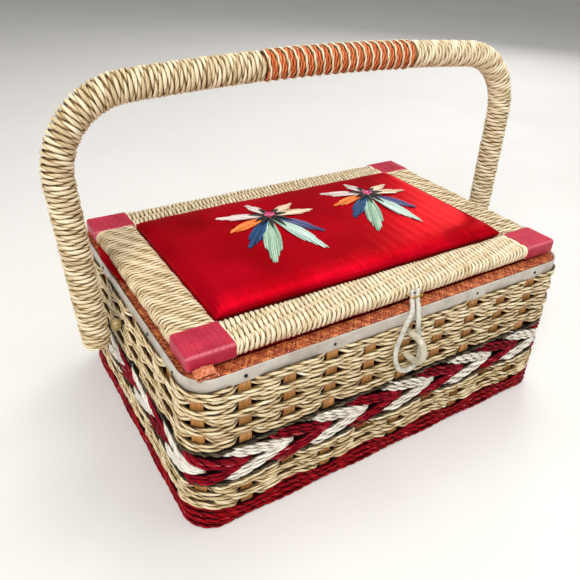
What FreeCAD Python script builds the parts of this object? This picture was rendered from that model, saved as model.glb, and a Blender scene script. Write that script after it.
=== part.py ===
"""Wicker sewing box: woven basket, hinged padded lid, cord latch and swinging bail handle.

Millimetres. X runs along the width, -Y is the front, +Z is up. The origin is the middle of the
underside, on the surface that the basket stands on.
"""
import FreeCAD
import Part
import Sketcher
import math
import os
from FreeCAD import Placement, Rotation, Vector

X_AXIS = Vector(1, 0, 0)
Y_AXIS = Vector(0, 1, 0)
Z_AXIS = Vector(0, 0, 1)

# Driving dimensions: name, value, meaning
DIMENSIONS = (
    ("basket_width", 307.5, "width over the rim strip"),
    ("basket_depth", 214.0, "depth over the rim strip"),
    ("corner_radius", 18.0, "outer corner of the rim strip"),
    ("foot_flare", 5.2, "how far the wall's foot stands out past the strip"),
    ("shoulder_bulge", 2.8, "how far the weave stands out under the strip"),
    ("foot_height", 13.0, "red rows at the foot"),
    ("foot_round", 3.0, "rolled lower edge of the foot"),
    ("lower_height", 23.0, "natural rows over the foot"),
    ("chevron_height", 29.5, "arrow band with its dark edge rows"),
    ("upper_height", 43.9, "natural rows under the strip"),
    ("weave_thickness", 3.8, "rows outside the stakes"),
    ("layer_gap", 0.1, "room between the layers of the wall"),
    ("stake_width", 7.8, "flat splint stake"),
    ("stake_thickness", 1.4, "flat splint stake"),
    ("stake_spacing", 30.0, "from stake to stake along a straight wall"),
    ("front_stakes", 9, "stakes between the corners, front and back"),
    ("side_stakes", 6, "stakes between the corners, left and right"),
    ("lining_thickness", 0.8, "satin inside the wall"),
    ("base_thickness", 3.0, "board under the basket"),
    ("base_pad_height", 5.0, "padded satin on the base"),
    ("strip_height", 9.0, "plastic rim strip"),
    ("strip_thickness", 1.0, "plastic rim strip"),
    ("hoop_width", 8.0, "wooden hoop inside the rim"),
    ("hoop_height", 10.0, "wooden hoop inside the rim"),
    ("braid_thickness", 1.4, "woven braid over the rim"),
    ("braid_fold", 6.0, "how far the braid hangs down inside"),
    ("nail_radius", 0.6, "shank of a strip nail"),
    ("nail_length", 8.0, "strip nail"),
    ("nail_head", 1.05, "radius of a nail's head"),
    ("nail_head_height", 0.6, "nail's head outside the strip"),
    ("lid_side_inset", 3.75, "from the strip's outside in to the lid's left and right edges"),
    ("lid_front_inset", 9.8, "from the strip's outside in to the lid's front and back edges"),
    ("lid_thickness", 11.0, "wound rail"),
    ("lid_gap", 0.3, "room between lid and braid"),
    ("side_rail", 30.0, "width of the left and right rails"),
    ("long_rail", 27.0, "width of the front and back rails"),
    ("rail_round", 4.0, "rounded edge of a wound rail"),
    ("winding_thickness", 2.8, "straw cord round a rail"),
    ("ribbon_round", 3.0, "rounded edge of a ribbon corner"),
    ("board_thickness", 3.0, "board under the lid cushion"),
    ("cushion_gap", 0.3, "room round the lid cushion and its board"),
    ("cushion_corner", 5.0, "corner radius of the lid cushion"),
    ("cushion_rise", 3.0, "crown of the lid cushion over the rails"),
    ("lid_pad_height", 5.0, "padded satin under the lid"),
    ("lid_pad_gap", 1.2, "room between the pad and the braid"),
    ("hinge_place", 85.0, "hinge from the middle"),
    ("hinge_length", 22.0, "hinge leaf along the edge"),
    ("hinge_middle", 7.0, "middle knuckle of the hinge"),
    ("hinge_leaf", 0.8, "thickness of a hinge leaf"),
    ("hinge_reach", 4.8, "width of a hinge leaf"),
    ("knuckle_radius", 1.9, "hinge barrel"),
    ("hinge_pin_radius", 0.75, "hinge pin"),
    ("hinge_clearance", 0.1, "round the hinge pin and beside the knuckles"),
    ("latch_place", 8.0, "fixed ends of the latch loop, right of the middle"),
    ("latch_cord", 1.8, "radius of the loop's cord"),
    ("latch_drop", 45.0, "from the strip's top to the foot of the loop"),
    ("latch_half_width", 10.5, "half of the loop's widest place"),
    ("latch_slant", 10.0, "how far the loop hangs to the left"),
    ("latch_strands", 2.3, "half of the distance between the fixed ends"),
    ("cord_clearance", 0.3, "between the loop and what it lies against"),
    ("staple_wire", 0.6, "radius of the brass staple's wire"),
    ("staple_depth", 6.0, "staple's legs in the rail"),
    ("staple_height", 5.3, "staple over the lid's underside"),
    ("latch_turn", 2.3, "where the cord bends out over the rim, over the lid's underside"),
    ("hoop_place", 1.0, "latch hoop, left of the middle"),
    ("latch_hoop_height", 18.0, "middle line of the latch hoop"),
    ("latch_hoop_reach", 14.0, "middle line of the latch hoop from the wall"),
    ("latch_hoop_drop", 15.0, "from the strip's top to the hoop's upper leg"),
    ("latch_hoop_tube", 2.3, "radius of the latch hoop's tube"),
    ("latch_hoop_bend", 8.0, "bend of the latch hoop"),
    ("latch_hoop_seat", 2.5, "how deep its ends sit in the weave"),
    ("pivot_drop", 11.2, "handle pivots under the hoop inside the rim"),
    ("leg_splay", 2.6, "degrees that a leg leans out"),
    ("handle_lean", 3.0, "degrees that the upright handle leans back"),
    ("shoulder_radius", 48.0, "bend of the handle's middle line"),
    ("crown_radius", 1900.0, "slow arch of the grip"),
    ("handle_top", 250.5, "grip's middle line over the base"),
    ("handle_foot", 13.3, "from the pivot to the lower end of a leg"),
    ("core_radius", 6.5, "cane inside the handle"),
    ("wrap_radius", 9.6, "wound leg"),
    ("foot_cap", 3.0, "winding under the end of the cane"),
    ("leg_round", 6.0, "rounded end of a leg"),
    ("grip_left", 48.0, "start of the orange grip, left of the middle"),
    ("grip_right", 72.0, "end of the orange grip, right of the middle"),
    ("grip_radius", 8.8, "orange winding"),
    ("wrap_gap", 0.05, "between the core, the windings and the grip cord"),
    ("grip_cord_radius", 0.9, "cream cord over the grip"),
    ("grip_turns", 18, "turns of the cream cord"),
    ("grip_cord_bend", 4.0, "bend where the cream cord ends"),
    ("pin_radius", 1.6, "pivot pin"),
    ("pin_clearance", 0.1, "round the pivot pin"),
    ("pin_seat", 5.0, "pin's end past the leg's middle line"),
    ("pin_head_radius", 3.2, "pin's head inside the basket"),
    ("pin_head_height", 1.3, "pin's head inside the basket"),
    ("washer_radius", 5.0, "washer inside the basket"),
    ("washer_thickness", 0.8, "washer inside the basket"),
    ("bead_radius", 4.1, "wooden bead between wall and leg"),
    ("bead_gap", 0.3, "between the bead and its neighbours"),
)

doc = FreeCAD.newDocument("sewing_box")
sheet = doc.addObject("Spreadsheet::Sheet", "sizes")
for row, (alias, number, meaning) in enumerate(DIMENSIONS, start=1):
    sheet.set(f"A{row}", alias)
    sheet.set(f"B{row}", str(number))
    sheet.set(f"C{row}", meaning)
    sheet.setAlias(f"B{row}", alias)
doc.recompute()


class Size:
    """A number together with the sheet formula that gives it."""

    def __init__(self, value, formula):
        self.value = float(value)
        self.formula = formula

    def __add__(self, other):
        other = as_size(other)
        return Size(self.value + other.value, f"({self.formula} + {other.formula})")

    def __sub__(self, other):
        other = as_size(other)
        return Size(self.value - other.value, f"({self.formula} - {other.formula})")

    def __mul__(self, factor):
        factor = as_size(factor)
        return Size(self.value * factor.value, f"({self.formula} * {factor.formula})")

    def __truediv__(self, divisor):
        divisor = as_size(divisor)
        return Size(self.value / divisor.value, f"({self.formula} / {divisor.formula})")

    def __neg__(self):
        return Size(-self.value, f"(0 - {self.formula})")

    def __float__(self):
        return self.value


def as_size(number):
    """A plain number as a Size."""
    if isinstance(number, Size):
        return number
    return Size(number, f"{float(number)}")


def size(alias):
    """The named cell of the sheet."""
    return Size(sheet.get(alias), f"sizes.{alias}")


def bind(thing, prop, length):
    """Tie one property to the sheet."""
    thing.setExpression(prop, as_size(length).formula)


# Heights and wall layers that several pieces share
foot_top = size("foot_height")
lower_top = foot_top + size("lower_height")
chevron_top = lower_top + size("chevron_height")
strip_bottom = chevron_top + size("upper_height")
strip_top = strip_bottom + size("strip_height")
rim_top = strip_top - size("braid_thickness")
hoop_bottom = rim_top - size("hoop_height")
wall_lean = (size("foot_flare") - size("shoulder_bulge")) / strip_bottom


def weave_face(height):
    """Outside of the weave past the strip's outside, at a height."""
    return size("foot_flare") - wall_lean * height


def stake_face(height):
    """Outer face of the stakes."""
    return weave_face(height) - size("weave_thickness") - size("layer_gap")


def lining_face(height):
    """Outer face of the lining, behind the stakes."""
    return stake_face(height) - size("stake_thickness") - size("layer_gap")


hoop_face = lining_face(rim_top)
braid_inside = hoop_face - size("hoop_width") - size("braid_thickness")
base_face = lining_face(as_size(0))
lid_bottom = strip_top + size("lid_gap")
lid_top = lid_bottom + size("lid_thickness")
half_width = size("basket_width") / 2
half_depth = size("basket_depth") / 2
half_lid_x = half_width - size("lid_side_inset")
half_lid_y = half_depth - size("lid_front_inset")
rail_inner_x = half_lid_x - size("side_rail")
rail_inner_y = half_lid_y - size("long_rail")
pivot_height = hoop_bottom - size("pivot_drop")
wall_outside = half_width + weave_face(pivot_height)
leg_inside = wall_outside + (size("bead_radius") + size("bead_gap")) * 2
leg_place = leg_inside + size("wrap_radius")


def plane_of(body, role):
    """One of a body's own origin planes."""
    return next(plane for plane in body.Origin.OriginFeatures if plane.Role == role)


def new_body(name):
    """An empty body whose label names its file."""
    body = doc.addObject("PartDesign::Body", name)
    body.Label = name
    return body


def new_sketch(body, name, height, role="XY_Plane"):
    """A sketch on one of the body's planes, moved along the plane's normal."""
    sketch = body.newObject("Sketcher::SketchObject", name)
    sketch.AttachmentSupport = [(plane_of(body, role), "")]
    sketch.MapMode = "FlatFace"
    bind(sketch, "AttachmentOffset.Base.z", height)
    return sketch


def constrain(sketch, label, formula_size, *what):
    """Add a driving dimension and tie it to the sheet."""
    index = sketch.addConstraint(Sketcher.Constraint(*what, as_size(formula_size).value))
    sketch.renameConstraint(index, label)
    bind(sketch, f"Constraints.{label}", formula_size)


def add_rounded_rectangle(sketch, label, half_x, half_y, radius, middle=(0, 0)):
    """Draw a rounded rectangle of four lines and four arcs about a middle point."""
    half_x, half_y, radius = as_size(half_x), as_size(half_y), as_size(radius)
    middle_x, middle_y = as_size(middle[0]), as_size(middle[1])
    across = half_x.value - radius.value
    along = half_y.value - radius.value
    x0, y0 = middle_x.value, middle_y.value
    corners = ((across, -along, -90), (across, along, 0), (-across, along, 90), (-across, -along, 180))
    arcs = []
    for x, y, start in corners:
        circle = Part.Circle(Vector(x0 + x, y0 + y, 0), Z_AXIS, radius.value)
        arcs.append(Part.ArcOfCircle(circle, math.radians(start), math.radians(start + 90)))
    lines = [Part.LineSegment(arcs[n - 1].EndPoint, arcs[n].StartPoint) for n in range(4)]
    first = sketch.addGeometry(lines + arcs, False)[0]
    line, arc = range(first, first + 4), range(first + 4, first + 8)
    for n in range(4):
        sketch.addConstraint(Sketcher.Constraint("Tangent", line[n], 2, arc[n], 1))
        sketch.addConstraint(Sketcher.Constraint("Tangent", arc[n - 1], 2, line[n], 1))
        sketch.addConstraint(Sketcher.Constraint("Horizontal" if n % 2 == 0 else "Vertical", line[n]))
    for n in range(1, 4):
        sketch.addConstraint(Sketcher.Constraint("Equal", arc[0], arc[n]))
    constrain(sketch, f"{label}_radius", radius, "Radius", arc[0])
    constrain(sketch, f"{label}_right", middle_x + half_x - radius, "DistanceX", -1, 1, arc[1], 3)
    constrain(sketch, f"{label}_back", middle_y + half_y - radius, "DistanceY", -1, 1, arc[1], 3)
    constrain(sketch, f"{label}_left", middle_x - half_x + radius, "DistanceX", -1, 1, arc[3], 3)
    constrain(sketch, f"{label}_front", middle_y - half_y + radius, "DistanceY", -1, 1, arc[3], 3)


def basket_outline(body, name, height, *offsets):
    """A sketch of outlines parallel to the rim strip, each moved out by an offset."""
    sketch = new_sketch(body, name, height)
    for number, offset in enumerate(offsets):
        add_rounded_rectangle(
            sketch, f"ring{number}", half_width + offset, half_depth + offset, size("corner_radius") + offset)
    return sketch


def loft(body, kind, name, sections, ruled=True):
    """A loft through the sections, added to the body or taken from it."""
    feature = body.newObject(f"PartDesign::{kind}Loft", name)
    feature.Profile = sections[0]
    feature.Sections = sections[1:]
    feature.Ruled = ruled
    return feature


def leaning_ring(name, bottom, top, outside, thickness):
    """A ring of the wall between two heights whose outer face leans with the wall."""
    body = new_body(name)
    for kind, word, inset in (("Additive", "solid", as_size(0)), ("Subtractive", "room", thickness)):
        sections = []
        for n, level in enumerate((bottom, top)):
            sections.append(basket_outline(body, f"{name}_{word}{n}", level, outside(level) - inset))
        loft(body, kind, f"{name}_{word}", sections)
    return body


def upright_ring(name, bottom, ring_height, outside, inside):
    """A ring with upright faces."""
    body = new_body(name)
    pad = body.newObject("PartDesign::Pad", f"{name}_pad")
    pad.Profile = basket_outline(body, f"{name}_plan", bottom, outside, inside)
    bind(pad, "Length", ring_height)
    return body


def drill_pivots(body, radius):
    """Bore both pivot holes through a ring, from side to side."""
    sketch = new_sketch(body, f"{body.Name}_pivot", 0, "YZ_Plane")
    circle = Part.Circle(Vector(0, pivot_height.value, 0), Z_AXIS, radius.value)
    index = sketch.addGeometry(circle, False)
    sketch.addConstraint(Sketcher.Constraint("PointOnObject", index, 3, -2))
    constrain(sketch, "pivot_height", pivot_height, "DistanceY", -1, 1, index, 3)
    constrain(sketch, "pivot_radius", radius, "Radius", index)
    pocket = body.newObject("PartDesign::Pocket", f"{body.Name}_bore")
    pocket.Profile = sketch
    pocket.Type = "ThroughAll"
    pocket.Midplane = True


def new_part(kind, name, **sizes):
    """A Part object with its sizes tied to the sheet."""
    thing = doc.addObject(f"Part::{kind}", name)
    for prop, length in sizes.items():
        bind(thing, prop, length)
    return thing


def block(name, low, high):
    """A box between two corners."""
    low = [as_size(value) for value in low]
    high = [as_size(value) for value in high]
    box = new_part("Box", name, Length=high[0] - low[0], Width=high[1] - low[1], Height=high[2] - low[2])
    for axis, value in zip("xyz", low):
        bind(box, f"Placement.Base.{axis}", value)
    return box


def rod(name, radius, start, length, axis=X_AXIS):
    """A cylinder from a start point along an axis."""
    cylinder = new_part("Cylinder", name, Radius=radius, Height=length)
    cylinder.Placement = Placement(Vector(*[as_size(value).value for value in start]), Rotation(Z_AXIS, axis))
    for letter, value in zip("xyz", start):
        bind(cylinder, f"Placement.Base.{letter}", value)
    return cylinder


def fuse(name, *pieces):
    """Several shapes as one solid."""
    joined = doc.addObject("Part::MultiFuse", name)
    joined.Shapes = list(pieces)
    return joined


def cut(name, base, tool):
    """One shape less another."""
    result = doc.addObject("Part::Cut", name)
    result.Base = base
    result.Tool = tool
    return result


def group(name, *pieces):
    """Separate solids in one node."""
    together = doc.addObject("Part::Compound", name)
    together.Links = list(pieces)
    return together


def coded(name, shape):
    """A shape worked out in code from the sheet's values."""
    feature = doc.addObject("Part::Feature", name)
    feature.Shape = shape
    return feature


def tube(name, path, radius):
    """A round tube swept along a path that is a wire."""
    spine = coded(f"{name}_path", path)
    first = path.OrderedEdges[0]
    start = first.valueAt(first.FirstParameter)
    heading = first.tangentAt(first.FirstParameter)
    section = new_part("Circle", f"{name}_section", Radius=radius)
    section.Placement = Placement(start, Rotation(Z_AXIS, heading))
    sweep = doc.addObject("Part::Sweep", name)
    sweep.Sections = [section]
    sweep.Spine = (spine, [f"Edge{n + 1}" for n in range(len(path.Edges))])
    sweep.Solid = True
    sweep.Frenet = False
    return sweep


# Share of a wall's thickness that its lower edge may be rolled
LARGEST_ROLL = 0.8

# Basket wall, from the foot up
foot_band = leaning_ring("foot_band", as_size(0), foot_top, weave_face, size("weave_thickness"))
doc.recompute()
foot_face = next(face for face in foot_band.Shape.Faces if face.BoundBox.ZMax < size("layer_gap").value)
foot_edges = []
for number, edge in enumerate(foot_band.Shape.Edges, start=1):
    if any(edge.isSame(outer_edge) for outer_edge in foot_face.OuterWire.Edges):
        foot_edges.append(f"Edge{number}")
foot_ring = foot_band.Tip
rolled = foot_band.newObject("PartDesign::Fillet", "foot_roll")
rolled.Base = (foot_ring, foot_edges)
rolled.Radius = min(size("foot_round").value, size("weave_thickness").value * LARGEST_ROLL)
lower_weave = leaning_ring("lower_weave", foot_top, lower_top, weave_face, size("weave_thickness"))
chevron_band = leaning_ring("chevron_band", lower_top, chevron_top, weave_face, size("weave_thickness"))
upper_weave = leaning_ring("upper_weave", chevron_top, strip_bottom, weave_face, size("weave_thickness"))
wall_lining = leaning_ring(
    "wall_lining", size("base_thickness"), hoop_bottom, lining_face, size("lining_thickness"))
pivot_bore = size("pin_radius") + size("pin_clearance")
for pierced in (upper_weave, wall_lining):
    drill_pivots(pierced, pivot_bore)

# Stakes: one leaning layer of splint, cut into strips
stake_layer = leaning_ring("stake_layer", as_size(0), rim_top, stake_face, size("stake_thickness"))
long_places = []
for number in range(int(size("front_stakes").value)):
    long_places.append(size("stake_spacing") * (number - (size("front_stakes").value - 1) / 2))
short_places = []
for number in range(int(size("side_stakes").value)):
    short_places.append(size("stake_spacing") * (number - (size("side_stakes").value - 1) / 2))
slicers = []
slice_reach = size("corner_radius") + size("foot_flare")
for place in long_places:
    for side in (-1, 1):
        edge_y = half_depth * side - slice_reach
        slicers.append(block(
            f"slice{len(slicers)}", (place - size("stake_width") / 2, edge_y, 0),
            (place + size("stake_width") / 2, edge_y + slice_reach * 2, rim_top)))
for place in short_places:
    for side in (-1, 1):
        edge_x = half_width * side - slice_reach
        slicers.append(block(
            f"slice{len(slicers)}", (edge_x, place - size("stake_width") / 2, 0),
            (edge_x + slice_reach * 2, place + size("stake_width") / 2, rim_top)))
for turn in (45, 135, 225, 315):
    corner = block(f"slice{len(slicers)}", (0, 0, 0), (slice_reach * 2, size("stake_width"), rim_top))
    corner_x = math.copysign((half_width - size("corner_radius")).value, math.cos(math.radians(turn)))
    corner_y = math.copysign((half_depth - size("corner_radius")).value, math.sin(math.radians(turn)))
    for axis in "xyz":
        corner.setExpression(f"Placement.Base.{axis}", None)
    corner.Placement = Placement(
        Vector(corner_x, corner_y, 0), Rotation(Z_AXIS, turn)).multiply(
        Placement(Vector(0, -size("stake_width").value / 2, 0), Rotation()))
    slicers.append(corner)
stakes = doc.addObject("Part::Common", "stakes")
stakes.Base = stake_layer
stakes.Tool = group("stake_slices", *slicers)

# Base
base_panel = new_body("base_panel")
base_pad_feature = base_panel.newObject("PartDesign::Pad", "base_board")
base_pad_feature.Profile = basket_outline(base_panel, "base_plan", as_size(0), base_face - size("layer_gap"))
bind(base_pad_feature, "Length", size("base_thickness"))


def cushion(name, half_x, half_y, corner, levels):
    """A padded form lofted through rounded rectangles: (height, how far its edge is drawn in)."""
    body = new_body(name)
    sections = []
    for number, (level, inset) in enumerate(levels):
        sketch = new_sketch(body, f"{name}_level{number}", level)
        add_rounded_rectangle(sketch, "edge", half_x - inset, half_y - inset, corner)
        sections.append(sketch)
    loft(body, "Additive", f"{name}_form", sections)
    return body


# Crown of a pad, as share of its rise and inset: tucked in below, full at a third, then a shallow dome
CROWN = ((0.0, 1.2), (0.3, 0.0), (0.62, 1.6), (0.82, 7.0), (0.94, 20.0), (1.0, 44.0))


def crown_levels(start, rise):
    """Heights and insets of a crowned pad."""
    return [(start + rise * share, as_size(inset)) for share, inset in CROWN]


pad_top = size("base_thickness") + size("base_pad_height")
pad_face = lining_face(pad_top) - size("lining_thickness") - size("cushion_gap")
base_pad = cushion(
    "base_pad", half_width + pad_face, half_depth + pad_face, size("corner_radius") + pad_face,
    crown_levels(size("base_thickness"), size("base_pad_height")))

# Rim
rim_strip = upright_ring(
    "rim_strip", strip_bottom, size("strip_height"), as_size(0), -size("strip_thickness"))
inner_rim_hoop = upright_ring(
    "inner_rim_hoop", hoop_bottom, size("hoop_height"), hoop_face, hoop_face - size("hoop_width"))
rim_braid = upright_ring(
    "rim_braid", rim_top, size("braid_thickness"), -size("strip_thickness") - size("layer_gap"), braid_inside)
fold = rim_braid.newObject("PartDesign::Pad", "braid_fold")
fold.Profile = basket_outline(
    rim_braid, "fold_plan", rim_top - size("braid_fold"), hoop_face - size("hoop_width") - size("layer_gap"),
    braid_inside)
bind(fold, "Length", size("braid_fold"))
nail_height = strip_bottom + size("strip_height") / 2


def strip_nail(number, place, heading):
    """A nail through the strip, with its head outside."""
    nail_shank = rod(f"nail_shank{number}", size("nail_radius"), place, size("nail_length"), heading * -1)
    head = rod(f"nail_head{number}", size("nail_head"), place, size("nail_head_height"), heading)
    return fuse(f"nail{number}", nail_shank, head)


nails = []
for place in long_places[::2]:
    for side in (-1, 1):
        nails.append(strip_nail(len(nails), (place, half_depth * side, nail_height), Y_AXIS * side))
for place in short_places[1::3]:
    for side in (-1, 1):
        nails.append(strip_nail(len(nails), (half_width * side, place, nail_height), X_AXIS * side))
rim_nails = group("rim_nails", *nails)

# Lid: frame, windings, ribbons, board and padding
winding = size("winding_thickness")
core_low = lid_bottom + winding
core_high = lid_top - winding


def frame_shape(name, gap):
    """The wooden lid frame, or with a gap the room for it in the windings."""
    gap = as_size(gap)
    outside = block(
        f"{name}_outside", (winding - half_lid_x - gap, winding - half_lid_y - gap, core_low - gap),
        (half_lid_x - winding + gap, half_lid_y - winding + gap, core_high + gap))
    hole_x = rail_inner_x + winding - gap
    hole_y = rail_inner_y + winding - gap
    inside = block(
        f"{name}_inside", (-hole_x, -hole_y, core_low - gap * 2), (hole_x, hole_y, core_high + gap * 2))
    return cut(name, outside, inside)


lid_frame = frame_shape("lid_frame", 0)


def wound_rail(name, role, section_middle, section_half, length):
    """A winding round one rail: a rounded section with room for the frame, padded both ways."""
    body = new_body(name)
    sketch = new_sketch(body, f"{name}_section", 0, role)
    middle = (section_middle, (lid_bottom + lid_top) / 2)
    half_height = size("lid_thickness") / 2
    add_rounded_rectangle(sketch, "outside", section_half, half_height, size("rail_round"), middle)
    room = winding - size("layer_gap")
    add_rounded_rectangle(
        sketch, "room", section_half - room, half_height - room, size("layer_gap") / 2, middle)
    pad = body.newObject("PartDesign::Pad", f"{name}_pad")
    pad.Profile = sketch
    pad.Midplane = True
    bind(pad, "Length", length)
    return body


long_middle = half_lid_y - size("long_rail") / 2
side_middle = half_lid_x - size("side_rail") / 2
wrap_front = wound_rail("wrap_front", "YZ_Plane", -long_middle, size("long_rail") / 2, rail_inner_x * 2)
wrap_back = wound_rail("wrap_back", "YZ_Plane", long_middle, size("long_rail") / 2, rail_inner_x * 2)
wrap_left = wound_rail("wrap_left", "XZ_Plane", -side_middle, size("side_rail") / 2, rail_inner_y * 2)
wrap_right = wound_rail("wrap_right", "XZ_Plane", side_middle, size("side_rail") / 2, rail_inner_y * 2)


def ribbon_corner(name, side_x, side_y):
    """Ribbon wound over one corner of the frame."""
    low_x = rail_inner_x if side_x > 0 else -half_lid_x
    low_y = rail_inner_y if side_y > 0 else -half_lid_y
    body = block(f"{name}_body", (low_x, low_y, lid_bottom), (
        low_x + size("side_rail"), low_y + size("long_rail"), lid_top))
    doc.recompute()
    rounded = doc.addObject("Part::Fillet", f"{name}_rounded")
    rounded.Base = body
    radius = min(size("ribbon_round").value, size("lid_thickness").value / 3)
    seam_x, seam_y = rail_inner_x.value * side_x, rail_inner_y.value * side_y
    chosen = []
    for number, edge in enumerate(body.Shape.Edges, start=1):
        middle = edge.CenterOfMass
        beside_winding = min(abs(middle.x - seam_x), abs(middle.y - seam_y)) < size("layer_gap").value
        if not beside_winding:
            chosen.append((number, radius, radius))
    rounded.Edges = chosen
    return cut(name, rounded, frame_shape(f"{name}_room", size("layer_gap")))


ribbons = []
for word_y, side_y in (("front", -1), ("back", 1)):
    for word_x, side_x in (("left", -1), ("right", 1)):
        ribbons.append(ribbon_corner(f"ribbon_{word_y}_{word_x}", side_x, side_y))

board_x = rail_inner_x - size("cushion_gap")
board_y = rail_inner_y - size("cushion_gap")
board_top = lid_bottom + size("board_thickness")
lid_board = block("lid_board", (-board_x, -board_y, lid_bottom), (board_x, board_y, board_top))
lid_cushion = cushion(
    "lid_cushion", board_x, board_y, size("cushion_corner"),
    crown_levels(board_top, lid_top + size("cushion_rise") - board_top))
lid_pad_face = braid_inside - size("lid_pad_gap")
lid_pad = cushion(
    "lid_pad", half_width + lid_pad_face, half_depth + lid_pad_face, size("corner_radius") + lid_pad_face,
    crown_levels(lid_bottom, -size("lid_pad_height")))

# Hinges at the back
hinge_y = half_lid_y + size("knuckle_radius") + size("hinge_clearance")
hinge_z = strip_top + size("knuckle_radius") + size("hinge_clearance")
knuckle_gap = size("hinge_clearance") * 2
side_knuckle = (size("hinge_length") - size("hinge_middle")) / 2 - knuckle_gap
plate_clear = size("knuckle_radius") + knuckle_gap * 2


def knuckle(name, start_x, length):
    """One hinge knuckle, still without its bore."""
    return rod(name, size("knuckle_radius"), (start_x, hinge_y, hinge_z), length)


def hinge_bore(name, middle):
    """Room for the pin through all knuckles of a hinge."""
    start = middle - size("hinge_length") / 2 - knuckle_gap
    bore = size("hinge_pin_radius") + size("hinge_clearance")
    return rod(name, bore, (start, hinge_y, hinge_z), size("hinge_length") + knuckle_gap * 2)


def rim_leaf(name, middle):
    """Leaf that lies on the rim, with the two outer knuckles."""
    left = middle - size("hinge_length") / 2
    right = middle + size("hinge_length") / 2
    plate = block(
        f"{name}_plate", (left, hinge_y + plate_clear, strip_top),
        (right, hinge_y + size("hinge_reach"), strip_top + size("hinge_leaf")))
    pieces = [plate]
    for word, start in (("left", left), ("right", right - side_knuckle)):
        pieces.append(knuckle(f"{name}_knuckle_{word}", start, side_knuckle))
        pieces.append(block(
            f"{name}_strap_{word}", (start, hinge_y, strip_top),
            (start + side_knuckle, hinge_y + plate_clear, strip_top + size("hinge_leaf"))))
    return cut(name, fuse(f"{name}_solid", *pieces), hinge_bore(f"{name}_bore", middle))


def lid_leaf(name, middle):
    """Leaf on the lid's back face, with the middle knuckle."""
    half = size("hinge_length") / 2
    tab = size("hinge_middle") / 2
    back = half_lid_y + size("hinge_leaf")
    plate = block(
        f"{name}_plate", (middle - half, half_lid_y, hinge_z + plate_clear),
        (middle + half, back, hinge_z + size("hinge_reach") + plate_clear / 2))
    strap = block(
        f"{name}_strap", (middle - tab, half_lid_y, hinge_z), (middle + tab, back, hinge_z + plate_clear))
    barrel = knuckle(f"{name}_knuckle", middle - tab, size("hinge_middle"))
    return cut(name, fuse(f"{name}_solid", plate, strap, barrel), hinge_bore(f"{name}_bore", middle))


def hinge_pin(name, middle):
    """Pin through all knuckles of a hinge."""
    start = (middle - size("hinge_length") / 2, hinge_y, hinge_z)
    return rod(name, size("hinge_pin_radius"), start, size("hinge_length"))


def both_hinges(name, build):
    """A piece of the left hinge and its like of the right one."""
    place = size("hinge_place")
    return group(name, build(f"{name}_left", -place), build(f"{name}_right", place))


rim_hinge_leaves = both_hinges("rim_hinge_leaves", rim_leaf)
lid_hinge_leaves = both_hinges("lid_hinge_leaves", lid_leaf)
hinge_pins = both_hinges("hinge_pins", hinge_pin)


def rounded_route(points, shares):
    """A wire along the points: straight runs joined by arcs that take a share of the shorter run."""
    edges = []
    start = points[0]
    for before, corner, after, share in zip(points, points[1:], points[2:], shares):
        run_in = before - corner
        run_out = after - corner
        shorter = min(run_in.Length, run_out.Length)
        run_in.normalize()
        run_out.normalize()
        half_turn = (math.pi - run_in.getAngle(run_out)) / 2
        radius = share * shorter / math.tan(half_turn)
        arc_start = corner + run_in * (share * shorter)
        arc_end = corner + run_out * (share * shorter)
        inward = run_in + run_out
        inward.normalize()
        middle = corner + inward * (radius / math.cos(half_turn) - radius)
        edges.append(Part.LineSegment(start, arc_start).toShape())
        edges.append(Part.Arc(arc_start, middle, arc_end).toShape())
        start = arc_end
    edges.append(Part.LineSegment(start, points[-1]).toShape())
    return Part.Wire(edges)


# Latch: cord loop on the lid, staple over its strands, hoop on the basket
cord = size("latch_cord").value
clear = size("cord_clearance").value
lid_face_y = -half_lid_y.value - cord - clear
loop_foot = (strip_top - size("latch_drop")).value
staple_z = (lid_bottom + size("staple_height")).value
turn_z = (lid_bottom + size("latch_turn")).value

# Outline of the hanging loop, as share of its drop and of its half width, from the top down
LOOP_OUTLINE = ((0.56, 0.72), (0.3, 1.0), (0.0, 0.62))

# Shares of a run that the loop's bends take: close to the lid below the staple, wide elsewhere
CLOSE_BEND = 0.3
WIDE_BEND = 0.45
STAPLE_BEND = 0.12


def beside_wall(height):
    """The cord's middle line where it hangs against the weave."""
    return -(half_depth + weave_face(as_size(height))).value - cord - clear


def latch_strand(side):
    """One strand of the loop, from its fixed end on the lid over the rim and down to the loop's foot."""
    top_x = size("latch_place").value + side * size("latch_strands").value
    middle_x = size("latch_place").value - size("latch_slant").value
    points = [
        Vector(top_x, lid_face_y, lid_top.value - cord),
        Vector(top_x, lid_face_y, turn_z),
        Vector(top_x, beside_wall(strip_bottom), strip_top.value + cord + clear),
    ]
    for height_share, width_share in LOOP_OUTLINE:
        height = loop_foot + size("latch_drop").value * height_share
        x = middle_x + side * size("latch_half_width").value * width_share
        points.append(Vector(x, beside_wall(height), height))
    return points


loop_points = latch_strand(-1) + latch_strand(1)[::-1]
wide_bends = [WIDE_BEND] * (len(loop_points) - 4)
loop_path = rounded_route(loop_points, [CLOSE_BEND] + wide_bends + [CLOSE_BEND])
latch_loop = tube("latch_loop", loop_path, size("latch_cord"))
staple_half = size("latch_strands").value + cord + clear + size("staple_wire").value
staple_y = lid_face_y - cord - clear - size("staple_wire").value
staple_end = -half_lid_y.value + size("staple_depth").value
staple_x = size("latch_place").value
staple_path = rounded_route([
    Vector(staple_x - staple_half, staple_end, staple_z),
    Vector(staple_x - staple_half, staple_y, staple_z),
    Vector(staple_x + staple_half, staple_y, staple_z),
    Vector(staple_x + staple_half, staple_end, staple_z),
], [STAPLE_BEND, STAPLE_BEND])
latch_staple = tube("latch_staple", staple_path, size("staple_wire"))
hoop_high = strip_top - size("latch_hoop_drop")
hoop_low = hoop_high - size("latch_hoop_height")
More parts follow.
